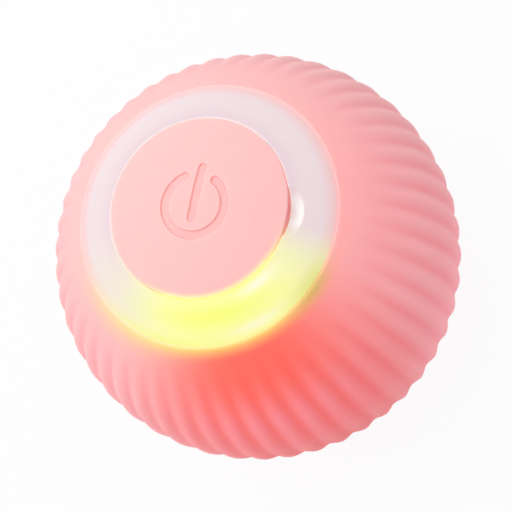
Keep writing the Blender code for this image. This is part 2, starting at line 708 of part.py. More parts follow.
def build_board(bench):
    board = rods("circuit_board", [(0, 0)], BOARD_RADIUS, BOARD_BOTTOM, BOARD_TOP, ROUND_STEPS)
    bench.piece(board, "circuit_board", GREEN_BOARD)
    hole = SCREW_SHANK_RADIUS + SHAFT_CLEARANCE
    bench.cut(board, rods("board_holes", post_places(BOARD_POST_CIRCLE), hole,
                          BOARD_BOTTOM - OVERRUN, BOARD_TOP + OVERRUN))
    place = polar(USB_OFFSET, USB_ANGLE)
    outside = stadium(USB_WIDTH, USB_DEPTH, place)
    inside = stadium(USB_WIDTH - 2 * USB_WALL, USB_DEPTH - 2 * USB_WALL, place)
    bench.piece(flat_piece("usb_shell", [outside, inside], USB_BOTTOM, USB_TOP),
                "usb_shell", BRIGHT_STEEL)
    tongue_top = USB_TOP - USB_TONGUE_INSET
    tongue = box("usb_tongue", (USB_TONGUE_WIDTH, USB_TONGUE_THICKNESS, tongue_top - USB_BOTTOM),
                 (*place, (tongue_top + USB_BOTTOM) / 2))
    bench.piece(tongue, "usb_tongue", BLACK_PLASTIC)
    height = BOARD_TOP + FIT_GAP + LED_HEIGHT / 2
    for index, spot in enumerate(around(LED_CIRCLE, LED_COUNT, LED_ANGLE)):
        led = box("led", (LED_WIDTH, LED_LENGTH, LED_HEIGHT), (*spot, height))
        led.rotation_euler.z = math.atan2(spot[1], spot[0])
        bench.piece(led, f"led_{index + 1}", YELLOW_LED)
    chip = box("control_chip", (CHIP_WIDTH, CHIP_WIDTH, CHIP_HEIGHT),
               (-CHIP_OFFSET, 0, BOARD_BOTTOM - FIT_GAP - CHIP_HEIGHT / 2))
    bench.piece(chip, "control_chip", BLACK_PLASTIC)
    sensor = rods("motion_sensor", [(0, 0)], SENSOR_RADIUS, -SENSOR_LENGTH / 2, SENSOR_LENGTH / 2)
    sensor.rotation_euler.x = math.radians(FULL_TURN / 4)
    sensor.location = (-SENSOR_OFFSET, SENSOR_RADIUS, BOARD_TOP + FIT_GAP + SENSOR_RADIUS)
    bench.piece(sensor, "motion_sensor", BRASS)


def build_screws(bench, name, places, face, length, parent=None):
    """Screws that enter upwards, their heads under the face at this height."""
    profile = [(0, length), (SCREW_SHANK_RADIUS, length), (SCREW_SHANK_RADIUS, 0),
               (SCREW_HEAD_RADIUS, 0), (SCREW_HEAD_RADIUS, -SCREW_HEAD_HEIGHT),
               (0, -SCREW_HEAD_HEIGHT)]
    screw = turned(name, profile, PIN_STEPS)
    size = (2 * SCREW_HEAD_RADIUS + OVERRUN, SCREW_SLOT_WIDTH, 2 * SCREW_SLOT_DEPTH)
    slot = box(f"{name}_slot", size, (0, 0, -SCREW_HEAD_HEIGHT))
    recess = screw.modifiers.new("slot", "BOOLEAN")
    recess.operation = "DIFFERENCE"
    recess.object = slot
    screw = bake(screw)
    bpy.data.objects.remove(slot, do_unlink=True)
    for index, place in enumerate(places):
        copy = link_new(name, screw.data)
        copy.location = (*place, face)
        bench.piece(copy, f"{name}_{index + 1}", BRIGHT_STEEL, parent)
    bpy.data.objects.remove(screw, do_unlink=True)


def leg_places():
    return around(LEG_CIRCLE, LEG_COUNT, LEG_ANGLE)


def build_frame(bench):
    frame = rods("motor_frame", [(0, 0)], FRAME_RADIUS, FRAME_BOTTOM, FRAME_TOP, ROUND_STEPS)
    bench.piece(frame, "motor_frame", GREY_PLASTIC)
    bench.join(frame, rods("frame_legs", leg_places(), LEG_RADIUS, LEG_BOTTOM,
                           FRAME_BOTTOM + FRAME_THICKNESS / 2))
    window = (MOTOR_THICKNESS + 2 * FIT_GAP, MOTOR_WIDTH + 2 * FIT_GAP,
              FRAME_THICKNESS + 2 * OVERRUN)
    bench.cut(frame, box("motor_window", window, (0, 0, (FRAME_BOTTOM + FRAME_TOP) / 2)))
    hole = SCREW_SHANK_RADIUS + SHAFT_CLEARANCE
    bench.cut(frame, rods("frame_holes", post_places(FRAME_POST_CIRCLE), hole,
                          FRAME_BOTTOM - OVERRUN, FRAME_TOP + OVERRUN))
    bench.cut(frame, rods("leg_holes", leg_places(), hole, LEG_BOTTOM - OVERRUN,
                          LEG_BOTTOM + LEG_SCREW_DEPTH))


def build_battery(bench):
    size = (BATTERY_WIDTH, BATTERY_LENGTH, BATTERY_THICKNESS)
    battery = box("battery", size, (BATTERY_MIDDLE, 0, (BATTERY_BOTTOM + BATTERY_TOP) / 2))
    bevel = battery.modifiers.new("soft edges", "BEVEL")
    bevel.width = BATTERY_EDGE_ROUND
    bevel.segments = 2
    bench.piece(battery, "battery", BATTERY_FOIL)
    size = (BATTERY_WIDTH - 2 * PAD_MARGIN, BATTERY_LENGTH - 2 * PAD_MARGIN, PAD_THICKNESS)
    pad = box("battery_pad", size, (BATTERY_MIDDLE, 0, PAD_BOTTOM + PAD_THICKNESS / 2))
    bench.piece(pad, "battery_pad", FOAM)


def wire(bench, name, start, middle, end):
    """A thin wire that leaves its start towards the middle point and bends to its end."""
    curve = bpy.data.curves.new(name, "CURVE")
    curve.dimensions = "3D"
    curve.bevel_depth = WIRE_RADIUS
    curve.bevel_resolution = 1
    curve.use_fill_caps = True
    spline = curve.splines.new("POLY")
    spline.points.add(WIRE_STEPS)
    for index, point in enumerate(spline.points):
        share = index / WIRE_STEPS
        place = (start * (1 - share) ** 2 + middle * (2 * share * (1 - share))
                 + end * share ** 2)
        point.co = (*place, 1)
    return bench.piece(link_new(name, curve), name, RED_WIRE)


def build_wires(bench):
    board = BOARD_BOTTOM - FIT_GAP
    middle = (BATTERY_BOTTOM + BATTERY_TOP) / 2
    battery_end = -BATTERY_LENGTH / 2 - FIT_GAP
    for number in (1, 2):
        across = BATTERY_INNER + number * WIRE_SPACING
        bend = battery_end - WIRE_SPACING
        wire(bench, f"battery_wire_{number}", Vector((across, battery_end, middle)),
             Vector((across, bend, middle)), Vector((across, bend, board)))
    for number, side in ((1, -TERMINAL_OFFSET), (2, TERMINAL_OFFSET)):
        wire(bench, f"motor_wire_{number}", Vector((0, side, terminal_top() + FIT_GAP)),
             Vector((0, side, board)), Vector((-WIRE_SPACING, side, board)))


def motor_outline(margin):
    """The can's outline: a circle with two flat sides."""
    radius = MOTOR_WIDTH / 2 - margin
    flat = MOTOR_THICKNESS / 2 - margin
    corner = math.degrees(math.acos(flat / radius))
    upper = arc((0, 0), radius, corner, FULL_TURN / 2 - corner, PIN_STEPS)
    return upper + [(-across, -along) for across, along in upper]


def terminal_top():
    return MOTOR_CAP_TOP + FIT_GAP + TERMINAL_HEIGHT


def build_motor(bench, rotor):
    can = flat_piece("motor_can", [motor_outline(0)], MOTOR_BOTTOM, MOTOR_CAN_TOP)
    bench.piece(can, "motor_can", BRIGHT_STEEL)
    boss_bottom = MOTOR_BOTTOM - MOTOR_BOSS_HEIGHT
    bench.join(can, rods("motor_boss", [(0, 0)], MOTOR_BOSS_RADIUS, boss_bottom,
                         MOTOR_BOTTOM + OVERRUN, SMALL_STEPS))
    shaft_top = MOTOR_BOTTOM + MOTOR_SHAFT_SEAT
    bench.cut(can, rods("motor_bore", [(0, 0)], MOTOR_SHAFT_RADIUS + SHAFT_CLEARANCE,
                        boss_bottom - OVERRUN, shaft_top + FIT_GAP))
    cap = flat_piece("motor_end_cap", [motor_outline(FIT_GAP)], MOTOR_CAP_BOTTOM, MOTOR_CAP_TOP)
    bench.piece(cap, "motor_end_cap", WHITE_NYLON)
    height = MOTOR_CAP_TOP + FIT_GAP + TERMINAL_HEIGHT / 2
    for number, side in ((1, -TERMINAL_OFFSET), (2, TERMINAL_OFFSET)):
        tag = box("terminal", (TERMINAL_WIDTH, TERMINAL_THICKNESS, TERMINAL_HEIGHT),
                  (0, side, height))
        bench.piece(tag, f"motor_terminal_{number}", BRASS)
    shaft = rods("motor_shaft", [(0, 0)], MOTOR_SHAFT_RADIUS, STAGE_TOP - GEAR_FACE, shaft_top)
    bench.piece(shaft, "motor_shaft", BRIGHT_STEEL, rotor)


def involute_angle(base, radius):
    """Turn of an involute from its base circle out to a radius."""
    if radius <= base:
        return 0
    roll = math.acos(base / radius)
    return math.tan(roll) - roll


def gear_outline(teeth, first_angle):
    """Outline of a spur gear with a tooth at the first angle, in degrees."""
    pitch = GEAR_MODULE * teeth / 2
    base = pitch * math.cos(math.radians(PRESSURE_ANGLE))
    tip = pitch + GEAR_MODULE * ADDENDUM_SHARE
    root = pitch - GEAR_MODULE * DEDENDUM_SHARE
    half_tooth = math.pi / 2 / teeth - GEAR_MODULE * BACKLASH_SHARE / pitch
    at_base = half_tooth + involute_angle(base, pitch)
    at_tip = at_base - involute_angle(base, tip)
    at_root = at_base - involute_angle(base, root)
    points = []
    for index in range(teeth):
        middle = math.radians(first_angle) + 2 * math.pi * index / teeth
        for radius, turn in ((root, -at_root), (tip, -at_tip), (tip, at_tip), (root, at_root)):
            angle = middle + turn
            points.append((radius * math.cos(angle), radius * math.sin(angle)))
    return points


def stage_top(stage):
    return STAGE_TOP - stage * STAGE_PITCH


def gear_phase(teeth, towards, with_gap):
    """First tooth's angle, so that a tooth or a gap points the given way."""
    return towards + (FULL_TURN / teeth / 2 if with_gap else 0)


def build_compound_gear(bench, name, stage, towards, axis):
    """A large wheel driven in one stage, with the small gear of the next."""
    top = stage_top(stage)
    large = gear_outline(LARGE_TEETH, gear_phase(LARGE_TEETH, towards, True))
    small = gear_outline(SMALL_TEETH, gear_phase(SMALL_TEETH, towards, False))
    wheel = flat_piece(name, [large], top - GEAR_FACE, top)
    bench.piece(wheel, name, WHITE_NYLON, axis)
    small_bottom = stage_top(stage + 1) - GEAR_FACE
    bench.join(wheel, flat_piece(name + "_small", [small], small_bottom, top - GEAR_FACE / 2))
    bench.cut(wheel, rods(name + "_bore", [(0, 0)], GEAR_BORE, small_bottom - OVERRUN,
                          top + OVERRUN))


def build_gears(bench, axes, rotor, output):
    to_side = GEAR_SIDE_ANGLE
    to_middle = GEAR_SIDE_ANGLE + FULL_TURN / 2
    top = stage_top(0)
    teeth = gear_outline(SMALL_TEETH, gear_phase(SMALL_TEETH, to_side, False))
    pinion = flat_piece("pinion", [teeth], top - GEAR_FACE, top)
    bench.piece(pinion, "pinion", BRASS, rotor)
    bench.cut(pinion, rods("pinion_bore", [(0, 0)], MOTOR_SHAFT_RADIUS + GEAR_BORE_CLEARANCE,
                           top - GEAR_FACE - OVERRUN, top + OVERRUN))
    for stage, towards in enumerate((to_middle, to_side, to_middle)):
        build_compound_gear(bench, f"compound_gear_{stage + 1}", stage, towards, axes[stage])
    top = stage_top(STAGE_COUNT - 1)
    teeth = gear_outline(LARGE_TEETH, gear_phase(LARGE_TEETH, to_side, True))
    gear = flat_piece("output_gear", [teeth], top - GEAR_FACE, top)
    bench.piece(gear, "output_gear", WHITE_NYLON, output)
    bench.cut(gear, rods("output_gear_bore", [(0, 0)], SHAFT_RADIUS + SHAFT_CLEARANCE,
                         top - GEAR_FACE - OVERRUN, top + OVERRUN))


def build_gearbox(bench):
    side = polar(GEAR_DISTANCE, GEAR_SIDE_ANGLE)
    hole = SCREW_SHANK_RADIUS + SHAFT_CLEARANCE
    axle_hole = AXLE_RADIUS + SHAFT_CLEARANCE
    cover = rods("gearbox_cover", [(0, 0)], GEARBOX_RADIUS, GEARBOX_COVER_BOTTOM,
                 GEARBOX_COVER_TOP, ROUND_STEPS)
    bench.piece(cover, "gearbox_cover", BRIGHT_STEEL)
    low = GEARBOX_COVER_BOTTOM - OVERRUN
    high = GEARBOX_COVER_TOP + OVERRUN
    bench.cut(cover, rods("cover_boss_hole", [(0, 0)], MOTOR_BOSS_RADIUS + FIT_GAP, low, high,
                          SMALL_STEPS))
    bench.cut(cover, rods("cover_screw_holes", leg_places(), hole, low, high))
    bench.cut(cover, rods("cover_axle_hole", [side], axle_hole, low,
                          GEARBOX_COVER_BOTTOM + AXLE_SEAT))
    base = rods("gearbox_base", [(0, 0)], GEARBOX_RADIUS, BASE_BOTTOM, BASE_TOP, ROUND_STEPS)
    bench.piece(base, "gearbox_base", GREY_PLASTIC)
    bench.join(base, rods("pillars", leg_places(), PILLAR_RADIUS, BASE_TOP - COUNTERBORE_DEPTH / 2,
                          GEARBOX_COVER_BOTTOM - FIT_GAP))
    low = BASE_BOTTOM - OVERRUN
    bench.cut(base, rods("pillar_holes", leg_places(), hole, low, GEARBOX_COVER_TOP))
    bench.cut(base, rods("counterbores", leg_places(), SCREW_HEAD_RADIUS + SHAFT_CLEARANCE, low,
                         BASE_BOTTOM + COUNTERBORE_DEPTH))
    bench.cut(base, rods("base_bush_hole", [(0, 0)], BOSS_BORE, low, BASE_TOP + OVERRUN,
                         SMALL_STEPS))
    bench.cut(base, rods("base_axle_hole", [side], axle_hole, BASE_TOP - AXLE_SEAT,
                         BASE_TOP + OVERRUN))
    axle = rods("gear_axle", [side], AXLE_RADIUS, BASE_TOP - AXLE_SEAT + FIT_GAP,
                GEARBOX_COVER_BOTTOM + AXLE_SEAT - FIT_GAP)
    bench.piece(axle, "gear_axle", BRIGHT_STEEL)


def build_output(bench, output):
    pin_top = stage_top(1)
    step = stage_top(STAGE_COUNT - 1) + FIT_GAP / 2
    profile = [(0, pin_top), (AXLE_RADIUS, pin_top), (AXLE_RADIUS, step), (SHAFT_RADIUS, step),
               (SHAFT_RADIUS, SHAFT_BOTTOM), (0, SHAFT_BOTTOM)]
    bench.piece(turned("output_shaft", profile, SMALL_STEPS), "output_shaft",
                BRIGHT_STEEL, output)
    bore = SHAFT_RADIUS + SHAFT_CLEARANCE
    bench.piece(tube("upper_bush", bore, BUSH_RADIUS, BASE_BOTTOM, BASE_TOP), "upper_bush", BRASS)
    bench.piece(tube("lower_bush", bore, BUSH_RADIUS, BUSH_BOTTOM, BUSH_TOP), "lower_bush", BRASS)
    places = [polar(WEIGHT_SCREW_CIRCLE, WEIGHT_ANGLE + side * WEIGHT_SCREW_ANGLE)
              for side in (-1, 1)]
    carrier = rods("weight_carrier", [(0, 0)], CARRIER_RADIUS, CARRIER_BOTTOM, CARRIER_TOP,
                   ROUND_STEPS)
    bench.piece(carrier, "weight_carrier", BRIGHT_STEEL, output)
    arm = box("carrier_arm", (CARRIER_RADIUS + OVERRUN, CARRIER_WIDTH, CARRIER_THICKNESS + OVERRUN),
              (-(CARRIER_RADIUS + OVERRUN) / 2, 0, (CARRIER_BOTTOM + CARRIER_TOP) / 2))
    bench.tool(arm, "carrier_arm")
    bench.join(arm, rods("carrier_hub", [(0, 0)], CARRIER_HUB_RADIUS, CARRIER_BOTTOM - OVERRUN,
                         CARRIER_TOP + OVERRUN, SMALL_STEPS))
    bench.combine(carrier, arm, "INTERSECT")
    bench.cut(carrier, rods("carrier_bore", [(0, 0)], bore, CARRIER_BOTTOM - OVERRUN,
                            CARRIER_TOP + OVERRUN, SMALL_STEPS))
    hole = SCREW_SHANK_RADIUS + SHAFT_CLEARANCE
    bench.cut(carrier, rods("carrier_screw_holes", places, hole, CARRIER_BOTTOM - OVERRUN,
                            CARRIER_TOP + OVERRUN))
    bench.cut(carrier, rods("carrier_counterbores", places, SCREW_HEAD_RADIUS + SHAFT_CLEARANCE,
                            CARRIER_BOTTOM - OVERRUN, CARRIER_BOTTOM + COUNTERBORE_DEPTH))

    profile = [(WEIGHT_INNER, WEIGHT_TOP)]
    profile += sphere_arc(WEIGHT_OUTER, latitude_at_height(WEIGHT_OUTER, WEIGHT_TOP),
                          latitude_at_height(WEIGHT_OUTER, WEIGHT_BOTTOM))
    profile.append((WEIGHT_INNER, WEIGHT_BOTTOM))
    weight = turned("counterweight", profile, ROUND_STEPS, closed=True)
    bench.piece(weight, "counterweight", DULL_ZINC, output)
    size = 2 * BALL_RADIUS
    bench.cut(weight, box("weight_half", (size, size, size), (BALL_RADIUS, 0, 0)))
    bench.cut(weight, rods("weight_screw_holes", places, hole, WEIGHT_BOTTOM - OVERRUN,
                           WEIGHT_BOTTOM + WEIGHT_SCREW_DEPTH))
    build_screws(bench, "weight_screw", places, CARRIER_BOTTOM + SCREW_HEAD_HEIGHT,
                 WEIGHT_SCREW_DEPTH, output)


def build_fixings(bench):
    under_board = BOARD_BOTTOM - FIT_GAP
    build_screws(bench, "board_screw", post_places(BOARD_POST_CIRCLE), under_board,
                 BOARD_THICKNESS + POST_SCREW_DEPTH)
    under_frame = FRAME_BOTTOM - FIT_GAP
    build_screws(bench, "frame_screw", post_places(FRAME_POST_CIRCLE), under_frame,
                 FRAME_THICKNESS + POST_SCREW_DEPTH)
    in_base = BASE_BOTTOM + SCREW_HEAD_HEIGHT
    reach = GEARBOX_COVER_TOP + LEG_SCREW_DEPTH - in_base
    build_screws(bench, "gearbox_screw", leg_places(), in_base, reach)


def main():
    clear_scene()
    bench = Bench()
    button = bench.axis("button_axis", bench.centre)
    cap = bench.axis("cap_axis", button)
    output = bench.axis("weight_axis", bench.centre)
    rotor = bench.axis("rotor_axis", bench.centre)
    side = (*polar(GEAR_DISTANCE, GEAR_SIDE_ANGLE), 0)
    axes = [bench.axis("gear_1_axis", bench.centre, side),
            bench.axis("gear_2_axis", bench.centre),
            bench.axis("gear_3_axis", bench.centre, side)]
    build_cover(bench)
    build_light_ring(bench)
    build_upper_shell(bench)
    build_lower_shell(bench)
    build_button(bench, button, cap)
    build_board(bench)
    build_frame(bench)
    build_battery(bench)
    build_motor(bench, rotor)
    build_gears(bench, axes, rotor, output)
    build_gearbox(bench)
    build_output(bench, output)
    build_fixings(bench)
    build_wires(bench)


main()
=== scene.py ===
"""Self rolling cat ball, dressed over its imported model.

The ball stands on its foot at the origin. +Z runs through the button cap, and
+Y points to the top of the power symbol. Lengths are in metres, angles in
degrees, and the heights in profiles are measured from the middle of the ball.
"""

import json
import logging
import math
from dataclasses import dataclass
from enum import Enum
from typing import Callable, Mapping, Optional, Sequence, Union

import bpy
from mathutils import Matrix, Vector

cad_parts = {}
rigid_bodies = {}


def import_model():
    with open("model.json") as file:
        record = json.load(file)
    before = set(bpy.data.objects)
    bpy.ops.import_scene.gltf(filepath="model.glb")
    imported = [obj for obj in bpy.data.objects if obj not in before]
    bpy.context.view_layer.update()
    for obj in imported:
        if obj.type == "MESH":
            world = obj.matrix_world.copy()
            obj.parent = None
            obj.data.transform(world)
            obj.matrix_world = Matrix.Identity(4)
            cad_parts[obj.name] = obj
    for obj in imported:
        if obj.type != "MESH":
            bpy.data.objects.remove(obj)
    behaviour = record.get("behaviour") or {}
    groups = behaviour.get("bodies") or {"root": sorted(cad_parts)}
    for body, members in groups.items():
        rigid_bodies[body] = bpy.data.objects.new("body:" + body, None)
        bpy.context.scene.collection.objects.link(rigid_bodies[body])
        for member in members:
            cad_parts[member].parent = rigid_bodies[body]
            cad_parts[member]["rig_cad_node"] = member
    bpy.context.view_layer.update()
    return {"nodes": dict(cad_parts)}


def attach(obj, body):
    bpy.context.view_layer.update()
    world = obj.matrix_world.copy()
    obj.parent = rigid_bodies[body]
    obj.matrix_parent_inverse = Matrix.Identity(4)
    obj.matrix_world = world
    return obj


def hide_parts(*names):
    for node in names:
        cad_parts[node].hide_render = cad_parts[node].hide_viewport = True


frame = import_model()

logging.basicConfig(level=logging.INFO, format="%(message)s")
LOG = logging.getLogger("cat_ball")

MM = 0.001
DEGREE = math.radians(1)
CENTRE = 0.020604
LED_LONGITUDE = -62.5
MERGE_REACH = 0.002 * MM
ROUND_STEPS = 6
Place = tuple[float, float]
Colour = tuple[float, float, float, float]
Edge = tuple[str, float, float]
Triple = tuple[float, float, float]
Piece = bpy.types.Object
Node = bpy.types.Node
Socket = bpy.types.NodeSocket
Share = Union[float, Socket]
Tree = bpy.types.NodeTree


class Grain(Enum):
    """How a surface was made, as how far its grain runs along X, Y and Z."""

    EVEN = (1.0, 1.0, 1.0)
    TURNED = (8.0, 8.0, 1.0)
    DRAWN = (1.0, 1.0, 10.0)


def linear(hex_colour: str) -> Colour:
    """Turns an sRGB hex colour to linear light.

    Args:
        hex_colour: The colour as #rrggbb.

    Returns:
        Linear red, green and blue, and an alpha of one.
    """
    shares = [int(hex_colour[at:at + 2], 16) / 255 for at in (1, 3, 5)]
    lights = [share / 12.92 if share <= 0.04045 else ((share + 0.055) / 1.055) ** 2.4
              for share in shares]
    return (lights[0], lights[1], lights[2], 1.0)


def add_node(tree: Tree, kind: str, inputs: Optional[Mapping] = None,
             **settings: object) -> Node:
    """Adds a node with its settings, and fills or links its inputs.

    Args:
        tree: The material's node tree.
        kind: The node's type.
        inputs: A value or an output socket for each input, by name or number.
        **settings: The node's own properties.

    Returns:
        The new node.
    """
    node = tree.nodes.new(kind)
    for name, value in settings.items():
        setattr(node, name, value)
    for key, value in (inputs or {}).items():
        if isinstance(value, Socket):
            tree.links.new(value, node.inputs[key])
        else:
            node.inputs[key].default_value = value
    return node


def polar(radius: float, degrees: float) -> Place:
    """Gives the point at a radius and an angle."""
    return radius * math.cos(math.radians(degrees)), radius * math.sin(math.radians(degrees))


def arc(radius: float, start: float, end: float, steps: int,
        middle: Place = (0.0, 0.0)) -> list[Place]:
    """Gives points along an arc of a profile.

    Args:
        radius: The arc's radius.
        start: Its first angle, in degrees.
        end: Its last angle.
        steps: How many chords it has.
        middle: Its middle, as radius and height.

    Returns:
        The points, both ends included.
    """
    points = [polar(radius, start + (end - start) * step / steps) for step in range(steps + 1)]
    return [(middle[0] + across, middle[1] + up) for across, up in points]


def ease(value: float, start: float, end: float) -> float:
    """Gives a share that goes smoothly from 0 at a start to 1 at an end."""
    share = min(max((value - start) / (end - start), 0.0), 1.0)
    return share * share * (3 - 2 * share)


@dataclass(frozen=True)
class Finish:
    """A finish, whose material is made once and then shared.

    Gloss is its specular level, milkiness how much light goes inside it, and passed
    how far red, green and blue go there, as shares of reach. The grain has a size
    and a depth, and spread is how far it changes the roughness.
    """

    name: str = ""
    slot: str = ""
    colour: str = "#ffffff"
    roughness: float = 0.5
    metallic: float = 0.0
    ior: float = 1.5
    gloss: float = 0.5
    sheen: float = 0.0
    milkiness: float = 0.0
    passed: Triple = (1.0, 0.9, 0.8)
    reach: float = 0.6 * MM
    size: float = 0.2 * MM
    depth: float = 0.002 * MM
    spread: float = 0.06
    worked: Grain = Grain.EVEN

    def material(self) -> bpy.types.Material:
        """Gives the finish's material, made at its first use.

        Returns:
            The material.
        """
        made = bpy.data.materials.get(self.name)
        if made is None:
            made = bpy.data.materials.new(self.name)
            made.use_nodes = True
            tree = made.node_tree
            tree.nodes.clear()
            shader = add_node(tree, "ShaderNodeBsdfPrincipled", {
                "Base Color": linear(self.colour), "Roughness": self.roughness,
                "Metallic": self.metallic, "IOR": self.ior, "Specular IOR Level": self.gloss,
                "Sheen Weight": self.sheen, "Subsurface Weight": self.milkiness,
                "Subsurface Radius": self.passed, "Subsurface Scale": self.reach})
            self.detail(shader, self.grain(shader))
            add_node(tree, "ShaderNodeOutputMaterial", {"Surface": shader.outputs["BSDF"]})
        return made

    def grain(self, shader: Node) -> Socket:
        """Adds the finish's grain, as a bump and a change of roughness.

        Args:
            shader: The material's shader.

        Returns:
            The noise that the grain is made from.
        """
        tree = shader.id_data
        place = add_node(tree, "ShaderNodeTexCoord")
        scaled = add_node(tree, "ShaderNodeMapping", {
            "Vector": place.outputs["Object"],
            "Scale": [1 / long for long in self.worked.value]})
        noise = add_node(tree, "ShaderNodeTexNoise", {
            "Vector": scaled.outputs["Vector"], "Scale": 1 / self.size}).outputs["Fac"]
        bump = add_node(tree, "ShaderNodeBump", {"Height": noise, "Distance": self.depth})
        tree.links.new(bump.outputs["Normal"], shader.inputs["Normal"])
        # Nearly all of the noise lies between 0.3 and 0.7.
        rough = add_node(tree, "ShaderNodeMapRange", {
            "Value": noise, "From Min": 0.3, "From Max": 0.7,
            "To Min": self.roughness - self.spread, "To Max": self.roughness + self.spread})
        tree.links.new(rough.outputs["Result"], shader.inputs["Roughness"])
        return noise

    def detail(self, shader: Node, noise: Socket) -> None:
        """Adds what a kind of finish has beside its grain.

        Args:
            shader: The material's shader.
            noise: The noise that its grain is made from.
        """

    def dress(self, piece: Piece) -> None:
        """Gives a piece this finish as its only material.

        Args:
            piece: A new piece, or a CAD node's object.
        """
        piece.data.materials.clear()
        piece.data.materials.append(self.material())


class LitZone:
    """Where each point lies round the lit LED, as nodes in one material.

    Its sockets are turn, the angle from the LED, side, the same with its sign,
    radius, the distance from the pole axis, height, and the piece's own marks.
    """

    def __init__(self, shader: Node, *marks: str) -> None:
        """Adds the nodes that find the sockets.

        Args:
            shader: The material's shader.
            *marks: The names of the marks that are read.
        """
        self.shader = shader
        self.tree = tree = shader.id_data
        place = add_node(tree, "ShaderNodeTexCoord")
        facing = add_node(tree, "ShaderNodeMapping", {
            "Vector": place.outputs["Object"],
            "Rotation": (0, 0, math.radians(-LED_LONGITUDE))})
        parts = add_node(tree, "ShaderNodeSeparateXYZ", {"Vector": facing.outputs["Vector"]})
        side = add_node(tree, "ShaderNodeMath", {
            0: parts.outputs["Y"], 1: parts.outputs["X"]}, operation="ARCTAN2")
        turn = add_node(tree, "ShaderNodeMath", {0: side.outputs[0]}, operation="ABSOLUTE")
        flat = add_node(tree, "ShaderNodeCombineXYZ", {
            "X": parts.outputs["X"], "Y": parts.outputs["Y"]})
        radius = add_node(tree, "ShaderNodeVectorMath", {0: flat.outputs[0]}, operation="LENGTH")
        self.sockets = {"turn": turn.outputs[0], "side": side.outputs[0],
                        "radius": radius.outputs["Value"], "height": parts.outputs["Z"]}
        for name in marks:
            mark_node = add_node(tree, "ShaderNodeAttribute", attribute_name=name)
            self.sockets[name] = mark_node.outputs["Fac"]

    def product(self, first: Share, *others: Share) -> Share:
        """Multiplies shares together.

        Args:
            first: A number or a socket.
            *others: More of them.

        Returns:
            Their product.
        """
        for other in others:
            first = add_node(self.tree, "ShaderNodeMath", {0: first, 1: other},
                             operation="MULTIPLY").outputs[0]
        return first

    def within(self, *edges: Edge) -> Share:
        """Adds a share that is one within some soft edges and zero beyond any of them.

        Args:
            *edges: For each its socket's name, where its fall starts and where it
                ends, in degrees, or in millimetres for the radius and for the height
                above the ball's middle.

        Returns:
            The share.
        """
        shares = []
        for name, start, end in edges:
            unit = MM if name in ("radius", "height") else DEGREE
            base = CENTRE if name == "height" else 0.0
            shares.append(add_node(self.tree, "ShaderNodeMapRange", {
                "Value": self.sockets[name], "From Min": base + start * unit,
                "From Max": base + end * unit, "To Min": 1.0, "To Max": 0.0},
                interpolation_type="SMOOTHSTEP").outputs["Result"])
        return self.product(*shares)

    def spot(self, turn: float, radius: float, width: float, depth: float) -> Share:
        """Adds a soft spot of light.

        Args:
            turn: The spot's angle from the LED, in degrees.
            radius: Its distance from the pole axis, in millimetres.
            width: How far it reaches round the pole, in degrees.
            depth: How far it reaches towards and away from the pole, in millimetres.

        Returns:
            A share that is one in its middle and falls to nothing round it.
        """
        place = add_node(self.tree, "ShaderNodeCombineXYZ", {
            "X": self.sockets["side"], "Y": self.sockets["radius"]}).outputs[0]
        for other, operation in (((turn * DEGREE, radius * MM, 0), "SUBTRACT"),
                                 ((width * DEGREE, depth * MM, 1), "DIVIDE")):
            place = add_node(self.tree, "ShaderNodeVectorMath", {0: place, 1: other},
                             operation=operation).outputs[0]
        square = add_node(self.tree, "ShaderNodeVectorMath", {0: place, 1: place},
                          operation="DOT_PRODUCT").outputs["Value"]
        return add_node(self.tree, "ShaderNodeMath", {0: math.exp(-1), 1: square},
                        operation="POWER").outputs[0]

    def coats(self, under: object, *coats: Sequence) -> Socket:
        """Lays colours over each other.

        Args:
            under: The colour beneath, as a hex colour or a socket.
            *coats: For each its hex colour, then numbers or sockets whose product
                says how much of it shows.

        Returns:
            The colour that results.
        """
        under = linear(under) if isinstance(under, str) else under
        for colour, *shares in coats:
            under = add_node(self.tree, "ShaderNodeMix", {
                "Factor": self.product(*shares), 6: under, 7: linear(colour)},
                data_type="RGBA").outputs[2]
        return under

    def paint(self, skin: Socket, light: Socket, strength: Share,
              *gains: tuple[Share, float]) -> None:
        """Gives the shader its colour and the light that it gives off.

        Args:
            skin: The surface's colour.
            light: The light's colour.
            strength: The light's strength where nothing is gained.
            *gains: Shares of the surface, and what each adds to the strength.
        """
        for share, gain in gains:
            strength = add_node(self.tree, "ShaderNodeMath", {
                0: share, 1: gain, 2: strength}, operation="MULTIPLY_ADD").outputs[0]
        for name, socket in (("Base Color", skin), ("Emission Color", light),
                             ("Emission Strength", strength)):
            self.tree.links.new(socket, self.shader.inputs[name])


